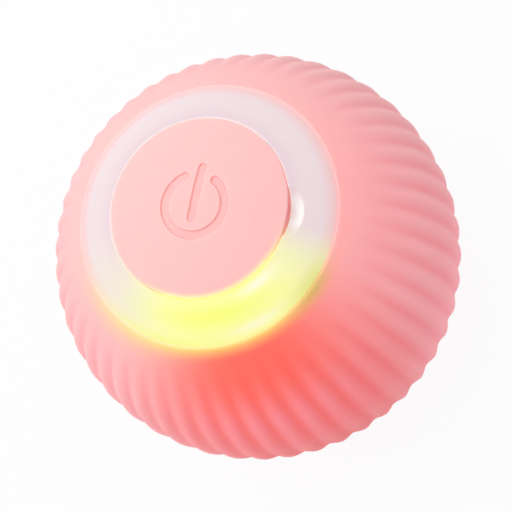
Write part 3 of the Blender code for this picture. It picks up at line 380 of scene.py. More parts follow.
@dataclass(frozen=True)
class Silicone(Finish):
    """Moulded silicone rubber, milky to light, and redder where light comes through."""

    gloss: float = 0.08
    milkiness: float = 0.85
    passed: Triple = (1.0, 0.7, 0.65)
    reach: float = 2.8 * MM
    # The mould is sand blasted, with grains of about 0.12 mm, a few microns deep.
    size: float = 0.12 * MM
    depth: float = 0.003 * MM
    spread: float = 0.05
    # The glow on the lit side, painted light that makes the top paler, painted shade that makes
    # it deeper below, a painted red glow over a wide turn, and a painted fill low down away from
    # the LED.
    shoulder: Edge = ("height", 16, 12)
    lit_turn: Edge = ("turn", 7, 56)
    lit_height: Edge = ("height", 9, -10)
    skirt: Edge = ("height", 7, 14)
    skirt_foot: Edge = ("height", 2, -5)
    turned_away: Edge = ("height", -4, 1)
    wide_turn: Edge = ("turn", 50, 170)
    unlit_turn: Edge = ("turn", 56, 7)
    unlit_height: Edge = ("height", -3, 5)
    # The halo by the mouth, and the mouth's spots as turn, radius, width and depth; the lip's
    # spot is a painted highlight.
    lower_half: Edge = ("height", 0, 8)
    far_off: float = 100 * MM
    halo: tuple[Edge, ...] = (("radius", 12.9, 14.7), ("side", -26, -80), ("side", 12, 50))
    spill: tuple[float, ...] = (-54, 13.6, 26, 1.3)
    olive: tuple[float, ...] = (37, 13.6, 12, 0.7)
    lip_highlight: tuple[float, ...] = (0, 13.34, 9000, 0.12)
    # For crest, valley, deep and pale: two rib heights, and the shares at them.
    ramps: tuple[tuple[float, ...], ...] = (
        (0, 1, 0, 1), (0, -1, 0, 1), (-1, 1, 1.0, 0.72), (-1, 1, 0.5, 1.0))

    def detail(self, shader: Node, noise: Socket) -> None:
        """Adds the ribs' painted light and shade, painted light above and shade below, and the
        glow of the light beneath.

        Args:
            shader: The material's shader.
            noise: The noise that its grain is made from.
        """
        zone = LitZone(shader, "rib")
        # The mouth's tones go by radius, so the lower half is set far off from them.
        zone.sockets["radius"] = add_node(zone.tree, "ShaderNodeMath", {
            0: zone.within(self.lower_half), 1: self.far_off, 2: zone.sockets["radius"]},
            operation="MULTIPLY_ADD").outputs[0]
        crest, valley, deep, pale = (add_node(zone.tree, "ShaderNodeMapRange", {
            "Value": zone.sockets["rib"], "From Min": low, "From Max": high,
            "To Min": first, "To Max": last}).outputs["Result"]
            for low, high, first, last in self.ramps)
        along = zone.within(self.lit_turn)
        glow = zone.within(self.lit_turn, self.lit_height)
        skirt = zone.within(self.skirt)
        halo = zone.within(*self.halo)
        clear = zone.within(self.unlit_height, self.unlit_turn)
        spill, olive, lip_highlight = (zone.spot(*spot) for spot in (self.spill, self.olive, self.lip_highlight))
        skin = zone.coats(
            self.colour,
            ("#fbb9b8", noise, 0.5),
            # Painted light and shade: a crest is painted paler and a valley deeper.
            ("#ffcdc9", crest, 0.08),
            ("#ee929a", valley, 0.3),
            # Painted light: the top of the skin is paler.
            ("#ffd2c8", zone.within(self.shoulder), 0.25),
            ("#f26c56", glow, deep),
            # Lower down the light has come further through the rubber, and is pinker.
            ("#f8a0a6", glow, skirt, pale, zone.within(self.skirt_foot)),
            # Painted shade: under the lit side, where the rubber turns from the room, it is
            # painted a deeper red.
            ("#de6a64", along, zone.within(self.turned_away), 0.45),
            ("#f4d898", spill, 0.62),
            ("#f6e888", halo),
            # A painted highlight along the thin lip shows as a pale line round the mouth.
            ("#ffe2d8", lip_highlight, 0.5),
            ("#dcc870", olive, 0.75))
        # Low down away from the LED the light is painted pinker, as a painted fill.
        light = zone.coats(
            "#ff3a58", ("#ff7a98", clear, 0.6), ("#ff4038", glow, 0.8),
            ("#d8a868", spill, 0.6), ("#e4ac4c", halo), ("#6c6420", olive, 0.9))
        # A faint red glow is painted over all the rubber, most on the far side, and leaves it a
        # little redder than the lamp makes it; a painted fill adds to it low down away from the
        # LED, and a little less lies lower down as painted shade.
        zone.paint(skin, light, 0.1, (zone.within(self.wide_turn), 0.14), (glow, 0.06),
                   (skirt, -0.03), (clear, 0.07), (halo, -0.12))


@dataclass(frozen=True)
class CapSilicone(Finish):
    """The cap's silicone: the same rubber from a smoother mould."""

    gloss: float = 0.3
    sheen: float = 0.03
    milkiness: float = 0.8
    passed: Triple = (1.0, 0.5, 0.45)
    reach: float = 1.0 * MM
    size: float = 0.1 * MM
    spread: float = 0.04
    wall: Edge = ("radius", 9.13, 9.08)
    by_notch: tuple[float, ...] = (68, 9.14, 24, 1.0)
    rim: tuple[Edge, ...] = (("radius", 9.4, 8.45), ("turn", 28, 66))

    def detail(self, shader: Node, noise: Socket) -> None:
        """Adds the groove's painted shade, painted shade on the wall by the notch, a faint
        painted red glow, and the ring's light on the rim.

        Args:
            shader: The material's shader.
            noise: The noise that its grain is made from.
        """
        zone = LitZone(shader, "groove", "groove_wall")
        rim = zone.within(*self.rim)
        skin = zone.coats(
            self.colour,
            # Painted shade: the groove's floor and walls are painted deeper.
            ("#efadaa", zone.sockets["groove"], 0.2),
            ("#e8857c", zone.sockets["groove_wall"], 0.38),
            # Painted shade: the wall is painted deeper pink where it looks into the notch.
            ("#ee5a66", zone.within(self.wall), zone.spot(*self.by_notch), 0.6),
            ("#fff0a8", rim))
        # A faint red glow is painted over all the cap, more with the ring's light on its rim.
        zone.paint(skin, zone.coats("#ff6058", ("#fff08c", rim)), 0.06, (rim, 0.3))


@dataclass(frozen=True)
class FrostedPlastic(Finish):
    """Milky light guide plastic: a soft satin skin, with light of its own all through it."""

    milkiness: float = 0.3
    passed: Triple = (1.0, 0.8, 0.8)
    reach: float = 1.0 * MM
    size: float = 0.3 * MM
    depth: float = 0.001 * MM
    spread: float = 0.03
    # Painted glow: the ring gives off its own light all over, and the lamps light only the taken
    # share of its colour.
    own_light: float = 0.622
    taken_light: float = 0.33
    cloud_size: float = 5.0 * MM
    # A painted pink reflection of the rubber by the outer rim, painted shade by the bore, and a
    # painted highlight on the bore's edge.
    pink_reflection_rim: Edge = ("radius", 13.5, 11.9)
    shade: Edge = ("radius", 9.1, 10.9)
    bore_highlight: Edge = ("radius", 9.22, 9.3)
    # The zone ends softly on the side away from the notch, and sharply at the notch.
    wide_zone: tuple[Edge, ...] = (("side", -42, -104), ("side", 44, 66))
    core: tuple[Edge, ...] = (("side", -22, -70), ("side", 24, 62))
    # Spots of the LED's painted glow: colour and share, then turn, radius, width and depth.
    spots: tuple[tuple, ...] = (
        ("#f7ff72", 0.85, -7, 10.9, 30, 1.1), ("#e4e478", 0.7, 39, 13.1, 13, 0.7),
        ("#fefcc4", 0.6, 34, 10.4, 9, 0.8), ("#fffde2", 0.9, 22, 9.9, 12, 0.45),
        ("#fffbd8", 0.8, 10, 12.65, 12, 0.35), ("#f6f884", 0.6, -35, 13.1, 30, 0.5),
        ("#fdf694", 0.8, 0, 9.2, 48, 0.3))

    def detail(self, shader: Node, noise: Socket) -> None:
        """Adds a cloudy white, painted reflection, shade and highlights, the lit zone's yellow,
        and the light that it gives off.

        Args:
            shader: The material's shader.
            noise: The noise that its grain is made from.
        """
        zone = LitZone(shader, "notch", "hollow")
        place = add_node(zone.tree, "ShaderNodeTexCoord")
        # The milk in the plastic is uneven over some 5 mm.
        clouds = add_node(zone.tree, "ShaderNodeTexNoise", {
            "Vector": place.outputs["Object"], "Scale": 1 / self.cloud_size, "Detail": 1.0})
        lit = zone.within(*self.core)
        tone = zone.coats(
            self.colour,
            ("#f4e9e6", clouds.outputs["Fac"], 0.7),
            # Painted pink reflection by the rim, painted shade by the bore, and a painted
            # highlight on its edge.
            ("#fec2c1", zone.within(self.pink_reflection_rim), 0.75),
            ("#e9ced8", zone.within(self.shade), 0.5),
            ("#fffaf6", zone.within(self.bore_highlight), 0.85),
            ("#f8f2d6", zone.within(*self.wide_zone)),
            ("#fbfca6", lit),
            *((colour, zone.spot(*spot), share) for colour, share, *spot in self.spots),
            # Painted shade and the cap's reflected pink beside the cap, and a painted highlight
            # on the notch's far wall.
            ("#f1ddd4", zone.sockets["hollow"], 0.4),
            ("#fdfaf4", zone.sockets["notch"]))
        base = zone.coats(tone, ("#000000", 1 - self.taken_light))
        zone.paint(base, tone, self.own_light, (lit, 0.085))


@dataclass(frozen=True)
class PrintedBoard(Finish):
    """Solder mask over copper: the tracks show through as paler lines."""

    size: float = 0.4 * MM
    depth: float = 0.001 * MM
    spread: float = 0.04
    track: str = "#2f8a52"
    pitch: float = 0.9 * MM
    width: float = 0.16 * MM

    def detail(self, shader: Node, noise: Socket) -> None:
        """Adds the tracks, with uneven steps so that they don't look like a wall.

        Args:
            shader: The material's shader.
            noise: The noise that its grain is made from.
        """
        tree = shader.id_data
        place = add_node(tree, "ShaderNodeTexCoord")
        tracks = add_node(tree, "ShaderNodeTexBrick", {
            "Vector": place.outputs["Object"], "Color1": linear(self.colour),
            "Color2": linear(self.colour), "Mortar": linear(self.track), "Scale": 1.0,
            "Mortar Size": self.width / 2, "Mortar Smooth": 0.3, "Brick Width": self.pitch * 4,
            "Row Height": self.pitch}, offset=0.37, squash=0.6, squash_frequency=3)
        tree.links.new(tracks.outputs["Color"], shader.inputs["Base Color"])


@dataclass(frozen=True)
class Plastic(Finish):
    """A moulded plastic with the light grain of its tool."""


@dataclass(frozen=True)
class Metal(Finish):
    """A metal whose grain runs the way it was drawn, turned or cast."""

    metallic: float = 1.0
    size: float = 0.1 * MM
    spread: float = 0.08


# Silicone rubber from a blasted mould is matt, looks soft, and glows when lit.
PINK_SILICONE = Silicone("moulded_silicone_rubber", "pink_silicone", "#fcc0bd", 0.62, ior=1.41)
# From a finer mould the same rubber is smoother, with a faint bloom.
CAP_RUBBER = CapSilicone("smooth_silicone_rubber", "cap_silicone", "#fbcac6", 0.58, ior=1.41)
# Frosted polycarbonate is satin, and spreads light until no lamp can be made out.
LIGHT_GUIDE = FrostedPlastic("frosted_polycarbonate", "frosted_ring", "#f2dfe4", 0.38,
                             ior=1.58)
# Unpainted ABS and acetal are satin, and their edges look a little waxy.
MILKY_ABS = Plastic("milky_abs", "milky_plastic", "#e6e0e0", 0.4, milkiness=0.3)
WHITE_POM = Plastic("white_acetal", "white_nylon", "#e4e4de", 0.38, milkiness=0.2)
# Black plastic and grey ABS let nothing through, and have a dull, even grain.
BLACK_LCP = Plastic("black_moulded_plastic", "black_plastic", "#1b1b1d", 0.45)
GREY_ABS = Plastic("grey_abs", "grey_plastic", "#7c7f84", 0.5)
# Solder mask is a glossy green lacquer, paler where copper lies under it.
SOLDER_MASK = PrintedBoard("green_solder_mask", "circuit_board", "#12592f", 0.3)
# The pouch's foil is bright and softly dimpled under its clear film.
POUCH_FOIL = Metal("laminated_foil", "battery_foil", "#c3c6ca", 0.35, 0.9, size=0.8 * MM,
                   depth=0.03 * MM)
# Foam tape is dark and open-celled, with no shine.
FOAM_TAPE = Plastic("foam_tape", "foam", "#4a4b4f", 0.9, size=0.15 * MM, depth=0.05 * MM)
# PVC insulation is smooth, with a broad soft highlight along the wire.
RED_PVC = Plastic("red_wire_insulation", "wire", "#b8322e", 0.45)
BLACK_PVC = Plastic("black_wire_insulation", "wire", "#26262a", 0.45)
# The LED's resin is glossy, and yellow with its phosphor.
LED_RESIN = Plastic("led_phosphor_resin", "led", "#f3e28a", 0.25)
# Nickel plate on drawn steel is bright, with fine lines along it.
NICKEL = Metal("nickel_plated_steel", "steel", "#d0d0d2", 0.25, worked=Grain.DRAWN)
# Die cast zinc is a dull blue-grey with a pebbled skin.
ZINC = Metal("die_cast_zinc", "zinc", "#a9abae", 0.45, size=0.25 * MM, depth=0.01 * MM)
# Turned brass is warm and bright, with the tool's rings round it.
TURNED_BRASS = Metal("turned_brass", "brass", "#e2bd73", 0.28, worked=Grain.TURNED)


def select_none() -> None:
    """Leaves edit mode and deselects every object."""
    if bpy.context.object and bpy.context.object.mode != "OBJECT":
        bpy.ops.object.mode_set(mode="OBJECT")
    bpy.ops.object.select_all(action="DESELECT")


def pick(piece: Piece) -> None:
    """Selects a piece alone and makes it the active one.

    Args:
        piece: The piece.
    """
    select_none()
    bpy.context.view_layer.objects.active = piece
    piece.select_set(True)


def settle(piece: Piece, smooth_angle: float = 35.0) -> Piece:
    """Applies a piece's place to its mesh and shades it smooth below an angle.

    Args:
        piece: The piece.
        smooth_angle: The largest angle that is shaded smooth, in degrees.

    Returns:
        The same piece.
    """
    pick(piece)
    bpy.ops.object.transform_apply(location=True, rotation=True, scale=True)
    bpy.ops.object.shade_smooth_by_angle(angle=math.radians(smooth_angle))
    return piece


def turned(name: str, profile: Sequence[Place], steps: int) -> Piece:
    """Draws a profile by extruding one point, and spins it about the pole axis.

    Args:
        name: The piece's name.
        profile: Points as radius and height, round a closed outline or from
            axis to axis.
        steps: How many faces go round.

    Returns:
        The turned piece, closed, with its faces outwards.
    """
    select_none()
    first = profile[0]
    bpy.ops.mesh.primitive_plane_add(size=MM, location=(first[0], 0, CENTRE + first[1]))
    piece = bpy.context.object
    piece.name = name
    bpy.ops.object.mode_set(mode="EDIT")
    bpy.ops.mesh.merge(type="CENTER")
    outline = [*profile, first] if first[0] > MERGE_REACH else profile
    for before, after in zip(outline, outline[1:]):
        move = (after[0] - before[0], 0, after[1] - before[1])
        bpy.ops.mesh.extrude_region_move(TRANSFORM_OT_translate={"value": move})
    bpy.ops.mesh.select_all(action="SELECT")
    bpy.ops.mesh.spin(steps=steps, angle=math.tau, center=(0, 0, 0), axis=(0, 0, 1))
    bpy.ops.mesh.select_all(action="SELECT")
    bpy.ops.mesh.remove_doubles(threshold=MERGE_REACH)
    bpy.ops.mesh.normals_make_consistent(inside=False)
    return settle(piece)


def weigh(piece: Piece, name: str, share: Callable[[Vector], float]) -> str:
    """Gives a piece a vertex group with a weight from each point's place.

    Args:
        piece: The piece.
        name: The group's name.
        share: Gives the weight at a place, from 0 to 1.

    Returns:
        The group's name.
    """
    group = piece.vertex_groups.new(name=name)
    for vertex in piece.data.vertices:
        weight = share(vertex.co)
        if weight > 0:
            group.add([vertex.index], weight, "REPLACE")
    return name


def displace(piece: Piece, group: str, strength: float, direction: str) -> None:
    """Moves a piece's weighted points along a direction, and applies it.

    Args:
        piece: The piece.
        group: The vertex group that says how far each point goes.
        strength: How far a point of full weight goes, in metres.
        direction: NORMAL, X, Y or Z.
    """
    modifier = piece.modifiers.new(group, "DISPLACE")
    modifier.vertex_group = group
    modifier.mid_level = 0
    modifier.strength = strength
    modifier.direction = direction
    pick(piece)
    bpy.ops.object.modifier_apply(modifier=modifier.name)


def mark(piece: Piece, name: str, value: Callable[[Vector], float]) -> None:
    """Keeps a mark for each point of a piece, which its finish reads.

    Args:
        piece: The piece.
        name: The mark's name.
        value: Gives the mark's number at a place.
    """
    numbers = piece.data.attributes.new(name, "FLOAT", "POINT")
    numbers.data.foreach_set("value", [value(vertex.co) for vertex in piece.data.vertices])


def refine(piece: Piece, chosen: Callable[[Vector], bool]) -> None:
    """Divides some of a piece's faces into finer ones.

    Args:
        piece: The piece.
        chosen: Says from a face's middle whether it is divided.
    """
    pick(piece)
    bpy.ops.object.mode_set(mode="EDIT")
    bpy.ops.mesh.select_all(action="DESELECT")
    bpy.ops.mesh.select_mode(type="FACE")
    bpy.ops.object.mode_set(mode="OBJECT")
    for face in piece.data.polygons:
        face.select = chosen(face.center)
    bpy.ops.object.mode_set(mode="EDIT")
    bpy.ops.mesh.subdivide(number_cuts=1)
    bpy.ops.mesh.select_mode(type="VERT")
    bpy.ops.object.mode_set(mode="OBJECT")


def rounded(corner: float, ball: float, round_radius: float, middle: float,
            outside: bool) -> list[Place]:
    """Gives the rounded edge where a domed face meets an upright wall.

    Args:
        corner: The wall's radius.
        ball: The radius of the face's ball.
        round_radius: The edge's own radius.
        middle: The height of the ball's middle.
        outside: True where the wall is outside the face, false for a bore.

    Returns:
        Points in order from the pole outwards.
    """
    inset = -round_radius if outside else round_radius
    out = corner + inset
    up = middle + math.sqrt((ball - round_radius) ** 2 - out ** 2)
    lean = math.degrees(math.asin(out / (ball - round_radius)))
    ends = (90 - lean, 0) if outside else (180, 90 - lean)
    return arc(round_radius, *ends, ROUND_STEPS, (out, up))


class SubAssembly:
    """A group of pieces that is built and dressed together."""

    title = ""

    def build(self) -> None:
        """Builds and dresses the group's pieces."""
        raise NotImplementedError

    def mount(self, piece: Piece, body: str, finish: Finish, *nodes: str) -> None:
        """Dresses a new piece, hangs it on its body and hides what it stands for.

        Args:
            piece: The piece.
            body: The CAD body that it moves with.
            finish: Its finish.
            *nodes: The CAD nodes that it replaces.
        """
        finish.dress(piece)
        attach(piece, body)
        if nodes:
            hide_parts(*nodes)
        LOG.info("%s: %s on %s, %d faces", self.title, piece.name, body, len(piece.data.polygons))

    def keep(self, finish: Finish, *nodes: str) -> None:
        """Dresses CAD nodes whose own shape shows.

        Args:
            finish: Their finish.
            *nodes: Their names.
        """
        for name in nodes:
            finish.dress(frame["nodes"][name])
            LOG.info("%s: %s keeps its solid", self.title, name)


@dataclass
class SiliconeCover(SubAssembly):
    """The ribbed skin, with its beaded mouth and its foot.

    The mouth, rib_full, above which the ribs fade, and rib_end are latitudes.
    """

    title = "cover"
    radius: float = 21.25 * MM
    wall: float = 1.75 * MM
    mouth: float = 51.08
    # How far back from the mouth each point of the bead lies, and how high, in millimetres.
    lip_bead: tuple[Place, ...] = (
        (0.8, 0.0), (0.6, 0.01), (0.42, 0.03), (0.28, 0.042), (0.17, 0.035), (0.09, 0.01),
        (0.035, -0.04), (0.0, -0.12))
    inner_round: float = 0.2 * MM
    foot_radius: float = 5.2 * MM
    foot_rise: float = 0.2 * MM
    foot_round: float = 0.05 * MM
    foot_gap: float = 0.1 * MM
    foot_turn: float = 0.4
    rib_count: int = 48
    rib_height: float = 0.32 * MM
    crest_longitude: float = 3.75
    rib_full: float = 18.0
    rib_end: float = 47.0
    smooth_angle: float = 50.0
    steps_per_rib: int = 8
    # How many rows of faces lie between the foot, the ribs' ends and the bead.
    rows: tuple[int, ...] = (12, 15, 20, 22)
    inner_rows: int = 36

    def profile(self) -> list[Place]:
        """Gives the skin's outline from the foot's middle round to the inside.

        Returns:
            Points as radius and height.
        """
        inner = self.radius - self.wall
        floor = self.foot_rise - CENTRE
        flat = math.sqrt(self.radius ** 2 - floor ** 2)
        low = math.degrees(math.asin(floor / self.radius)) + self.foot_turn
        bead = math.degrees(self.lip_bead[0][0] * MM / self.radius)
        points = [(0.0, -CENTRE), (self.foot_radius / 2, -CENTRE),
                  (self.foot_radius - self.foot_round, -CENTRE),
                  (self.foot_radius, self.foot_round - CENTRE), (self.foot_radius, floor),
                  (flat - self.foot_gap, floor), polar(self.radius, low)]
        bands = (low, -self.rib_end, -self.rib_full, self.rib_full, self.mouth - bead)
        for start, end, rows in zip(bands, bands[1:], self.rows):
            points += arc(self.radius, start, end, rows)[1:]
        for back, rise in self.lip_bead[1:]:
            turn = math.degrees(back * MM / self.radius)
            points.append(polar(self.radius + rise * MM, self.mouth - turn))
        points.append(polar(inner + self.inner_round, self.mouth))
        edge = self.mouth - math.degrees(self.inner_round / inner)
        points += arc(inner, edge, -90, self.inner_rows)
        points[-1] = (0.0, -inner)
        return points

    def rise(self, place: Vector) -> float:
        """Gives how high a rib stands at a place.

        Args:
            place: The place.

        Returns:
            From -1 in a valley to 1 on a crest, and 0 where no rib is.
        """
        up = place.z - CENTRE
        out = math.hypot(place.x, place.y)
        if math.hypot(out, up) < self.radius - self.wall / 2:
            return 0.0
        latitude = math.degrees(math.atan2(up, out))
        longitude = math.degrees(math.atan2(place.y, place.x))
        wave = math.cos(math.radians((longitude - self.crest_longitude) * self.rib_count))
        return wave * ease(abs(latitude), self.rib_end, self.rib_full)

    def build(self) -> None:
        """Turns the skin, then raises the crests and sinks the valleys."""
        skin = turned("ribbed_skin", self.profile(), self.rib_count * self.steps_per_rib)
        # The rib mark also carries the ribs' painted light and shade.
        mark(skin, "rib", self.rise)
        crests = weigh(skin, "crests", lambda place: max(self.rise(place), 0.0))
        valleys = weigh(skin, "valleys", lambda place: max(-self.rise(place), 0.0))
        displace(skin, crests, self.rib_height / 2, "NORMAL")
        displace(skin, valleys, -self.rib_height / 2, "NORMAL")
        self.mount(settle(skin, self.smooth_angle), "ball", PINK_SILICONE, "silicone_cover")


@dataclass
class LightRing(SubAssembly):
    """The light guide in the cover's mouth, with its finger notch. Its edge is a latitude."""

    title = "light ring"
    face: float = 21.25 * MM
    inner: float = 19.5 * MM
    bore: float = 9.2 * MM
    bore_round: float = 0.08 * MM
    edge: float = 51.2
    edge_round: float = 0.1 * MM
    notch_angle: float = 5.0
    notch_circle: float = 9.05 * MM
    notch_length: float = 4.9 * MM
    notch_reach: float = 1.5 * MM
    notch_depth: float = 0.7 * MM
    # From where to where the notch's painted highlight lies, across it and by angle, and its
    # painted shade and pink beside the cap.
    highlight_across: Place = (0.15, 0.775)
    highlight_start: Place = (-6.0, 0.0)
    highlight_end: Place = (19.0, 8.0)
    pink_across: Place = (0.75, 0.2955)
    # How much wider than the notch each finer set of faces is.
    finer: tuple[float, ...] = (1.2, 1.1)
    finer_above: float = 17.55 * MM
    steps: int = 256
    face_rows: int = 26
    inner_rows: int = 8
    edge_rows: int = 4
    smooth_angle: float = 40.0

    def profile(self) -> list[Place]:
        """Gives the ring's closed outline, from the bore over the face and back inside.

        Returns:
            Points as radius and height.
        """
        points = rounded(self.bore, self.face, self.bore_round, 0.0, False)
        turn = math.degrees(self.edge_round / self.face)
        first = math.degrees(math.atan2(points[-1][1], points[-1][0]))
        points += arc(self.face, first, self.edge + turn, self.face_rows)[1:]
        for out, along in arc(1.0, 0, 90, self.edge_rows)[1:]:
            points.append(polar(self.face - self.edge_round * (1 - out),
                                self.edge + turn * (1 - along)))
        last = math.degrees(math.acos(self.bore / self.inner))
        points += arc(self.inner, self.edge, last, self.inner_rows)
        return points

    def across(self, place: Vector) -> float:
        """Gives how far a place lies across the scoop, seen from above.

        Args:
            place: The place.

        Returns:
            From 0 in its middle to 1 at its rim, and more outside it.
        """
        out, side = polar(1.0, self.notch_angle)
        along = place.y * out - place.x * side
        away = place.x * out + place.y * side - self.notch_circle
        return math.hypot(away / self.notch_reach, along / (self.notch_length / 2))

    def scoop(self, place: Vector) -> float:
        """Gives how deep the notch is at a place.

        Args:
            place: The place.

        Returns:
            A share of its full depth, 0 inside the ring and outside the notch.
        """
        across = self.across(place)
        from_middle = math.hypot(place.x, place.y, place.z - CENTRE)
        if across >= 1 or from_middle < (self.face + self.inner) / 2:
            return 0.0
        return math.sqrt(1 - across ** 2)

    def notch_highlight(self, place: Vector) -> float:
        """Gives how much painted highlight the notch's skin has at a place, most towards its
        outer rim.

        Args:
            place: The place.

        Returns:
            A share from 0 to 1.
        """
        angle = math.degrees(math.atan2(place.y, place.x))
        shares = (ease(self.across(place), *self.highlight_across),
                  ease(angle, *self.highlight_start), ease(angle, *self.highlight_end))
        return math.prod(shares) if self.scoop(place) > 0 else 0.0

    def shade_and_cap_pink(self, place: Vector) -> float:
        """Gives how much painted shade and reflected pink of the cap the notch takes at a place,
        most beside the cap.
        """
        return ease(self.across(place), *self.pink_across) if self.scoop(place) > 0 else 0.0

    def build(self) -> None:
        """Turns the ring and sinks the notch in its bore's edge."""
        ring = turned("light_guide_ring", self.profile(), self.steps)
        for reach in self.finer:
            refine(ring, lambda middle: self.across(middle) < reach
                   and middle.z - CENTRE > self.finer_above)
        # The notch's marks carry its painted highlight, and its painted shade and pink beside the
        # cap.
        mark(ring, "notch", self.notch_highlight)
        mark(ring, "hollow", self.shade_and_cap_pink)
        notch = weigh(ring, "notch_depth", self.scoop)
        displace(ring, notch, -self.notch_depth, "Z")
        self.mount(settle(ring, self.smooth_angle), "ball", LIGHT_GUIDE, "light_ring")


@dataclass
class ButtonCap(SubAssembly):
    """The domed cap with the engraved power symbol."""

    title = "cap"
    dome: float = 33.388 * MM
    dome_middle: float = -12.913 * MM
    radius: float = 9.14 * MM
    edge_round: float = 0.2 * MM
    bottom: float = 17.9 * MM
    hollow: float = 7.95 * MM
    roof: float = 18.817 * MM
    stud: float = 1.8 * MM
    stud_bottom: float = 18.117 * MM
    groove_depth: float = 0.18 * MM
    symbol_radius: float = 3.5 * MM
    stroke: float = 0.85 * MM
    gap_angle: float = 30.5
    bar_top: float = 4.2 * MM
    bar_length: float = 6.0 * MM
    wall_width: float = 0.12 * MM
    bottom_bevel: float = 0.1 * MM
    # The face's rings lie closest across the symbol's ring, and widest outside it.
    fine_step: float = 0.035 * MM
    step: float = 0.1 * MM
    wide_step: float = 0.35 * MM
    symbol_end: float = 4.6 * MM
    # How far from a stroke's edge each finer set of faces reaches.
    finer: tuple[float, ...] = (0.14 * MM, 0.1 * MM)
    face_wall: float = 0.3 * MM
    floor_start: float = 0.6
    steps: int = 240
    smooth_angle: float = 60.0

    def profile(self) -> list[Place]:
        """Gives the cap's outline from the dome's middle round to the stud.

        Returns:
            Points as radius and height.
        """
        inner = self.symbol_radius - self.stroke - self.wall_width
        outer = self.symbol_radius + self.wall_width
        edge = self.radius - self.edge_round - self.step
        points, at = [], 0.0
        for start, end, step in ((0.0, inner - self.step / 2, self.step),
                                 (inner, outer, self.fine_step),
                                 (outer + self.step, self.symbol_end, self.step),
                                 (self.symbol_end, edge, self.wide_step)):
            at = max(at, start)
            while at < end:
                points.append((at, self.dome_middle + math.sqrt(self.dome ** 2 - at ** 2)))
                at += step
        points += rounded(self.radius, self.dome, self.edge_round, self.dome_middle, True)
        points += [(self.radius, self.bottom + self.bottom_bevel),
                   (self.radius - self.bottom_bevel, self.bottom), (self.hollow, self.bottom),
                   (self.hollow, self.roof), (self.stud, self.roof),
                   (self.stud, self.stud_bottom), (0.0, self.stud_bottom)]
        return points

    def on_face(self, place: Vector) -> bool:
        """Says whether a place is on the cap's face, and not inside it."""
        return place.z - CENTRE >= self.roof + self.face_wall

    def outline_distance(self, place: Vector) -> float:
        """Gives how far a place lies outside the symbol's strokes, negative within them.

        Args:
            place: The place, seen from above.

        Returns:
            The distance in metres to the nearest stroke's edge.
        """
        half = self.stroke / 2
        low = self.bar_top - self.bar_length + half
        high = self.bar_top - half
        along = min(max(place.y, low), high)
        bar = math.hypot(place.x, place.y - along) - half
        middle = self.symbol_radius - half
        angle = math.degrees(math.atan2(abs(place.x), place.y))
        if angle >= self.gap_angle:
            ring = abs(math.hypot(place.x, place.y) - middle) - half
        else:
            end = (middle * math.sin(math.radians(self.gap_angle)),
                   middle * math.cos(math.radians(self.gap_angle)))
            ring = math.hypot(abs(place.x) - end[0], place.y - end[1]) - half
        return min(bar, ring)

    def sink(self, place: Vector) -> float:
        """Gives how deep the groove is at a place, as a share of its full depth."""
        depth = ease(self.outline_distance(place), self.wall_width / 2, -self.wall_width / 2)
        return depth if self.on_face(place) else 0.0

    def build(self) -> None:
        """Turns the cap, makes its face finer by the symbol, and sinks the groove."""
        cap = turned("cap_with_symbol", self.profile(), self.steps)
        for reach in self.finer:
            refine(cap, lambda middle: self.on_face(middle)
                   and abs(self.outline_distance(middle)) < reach)
        # The groove's marks carry its painted shade.
        mark(cap, "groove", lambda place: ease(self.sink(place), self.floor_start, 1.0))
        mark(cap, "groove_wall", lambda place: 1 - abs(2 * self.sink(place) - 1))
        groove = weigh(cap, "groove_depth", self.sink)
        displace(cap, groove, -self.groove_depth, "Z")
        self.mount(settle(cap, self.smooth_angle), "cap", CAP_RUBBER, "button_cap")


@dataclass
class Insides(SubAssembly):
    """Everything inside the skin that keeps its solid."""

    title = "insides"
    solids: tuple[tuple[Finish, str], ...] = (
        (MILKY_ABS, "upper_shell lower_shell"),
        (WHITE_POM, "switch_plunger output_gear motor_end_cap"),
        (BLACK_LCP, "switch_stem usb_tongue control_chip"),
        (NICKEL, "switch_body usb_shell motor_can motor_shaft gearbox_cover gear_axle "
                 "output_shaft weight_carrier weight_screw_1 weight_screw_2"),
        (SOLDER_MASK, "circuit_board"),
        (TURNED_BRASS, "motion_sensor pinion upper_bush lower_bush motor_terminal_1 "
                       "motor_terminal_2"),
        (GREY_ABS, "motor_frame gearbox_base"),
        (POUCH_FOIL, "battery"),
        (FOAM_TAPE, "battery_pad"),
        (ZINC, "counterweight"),
        (RED_PVC, "battery_wire_1 motor_wire_1"),
        (BLACK_PVC, "battery_wire_2 motor_wire_2"))
    threes: tuple[tuple[Finish, str], ...] = (
        (WHITE_POM, "compound_gear"), (LED_RESIN, "led"), (NICKEL, "board_screw"),
        (NICKEL, "frame_screw"), (NICKEL, "gearbox_screw"))

    def build(self) -> None:
        """Dresses the solids, then those that come in threes."""
        for finish, names in self.solids:
            self.keep(finish, *names.split())
        for finish, name in self.threes:
            self.keep(finish, *(f"{name}_{number}" for number in (1, 2, 3)))


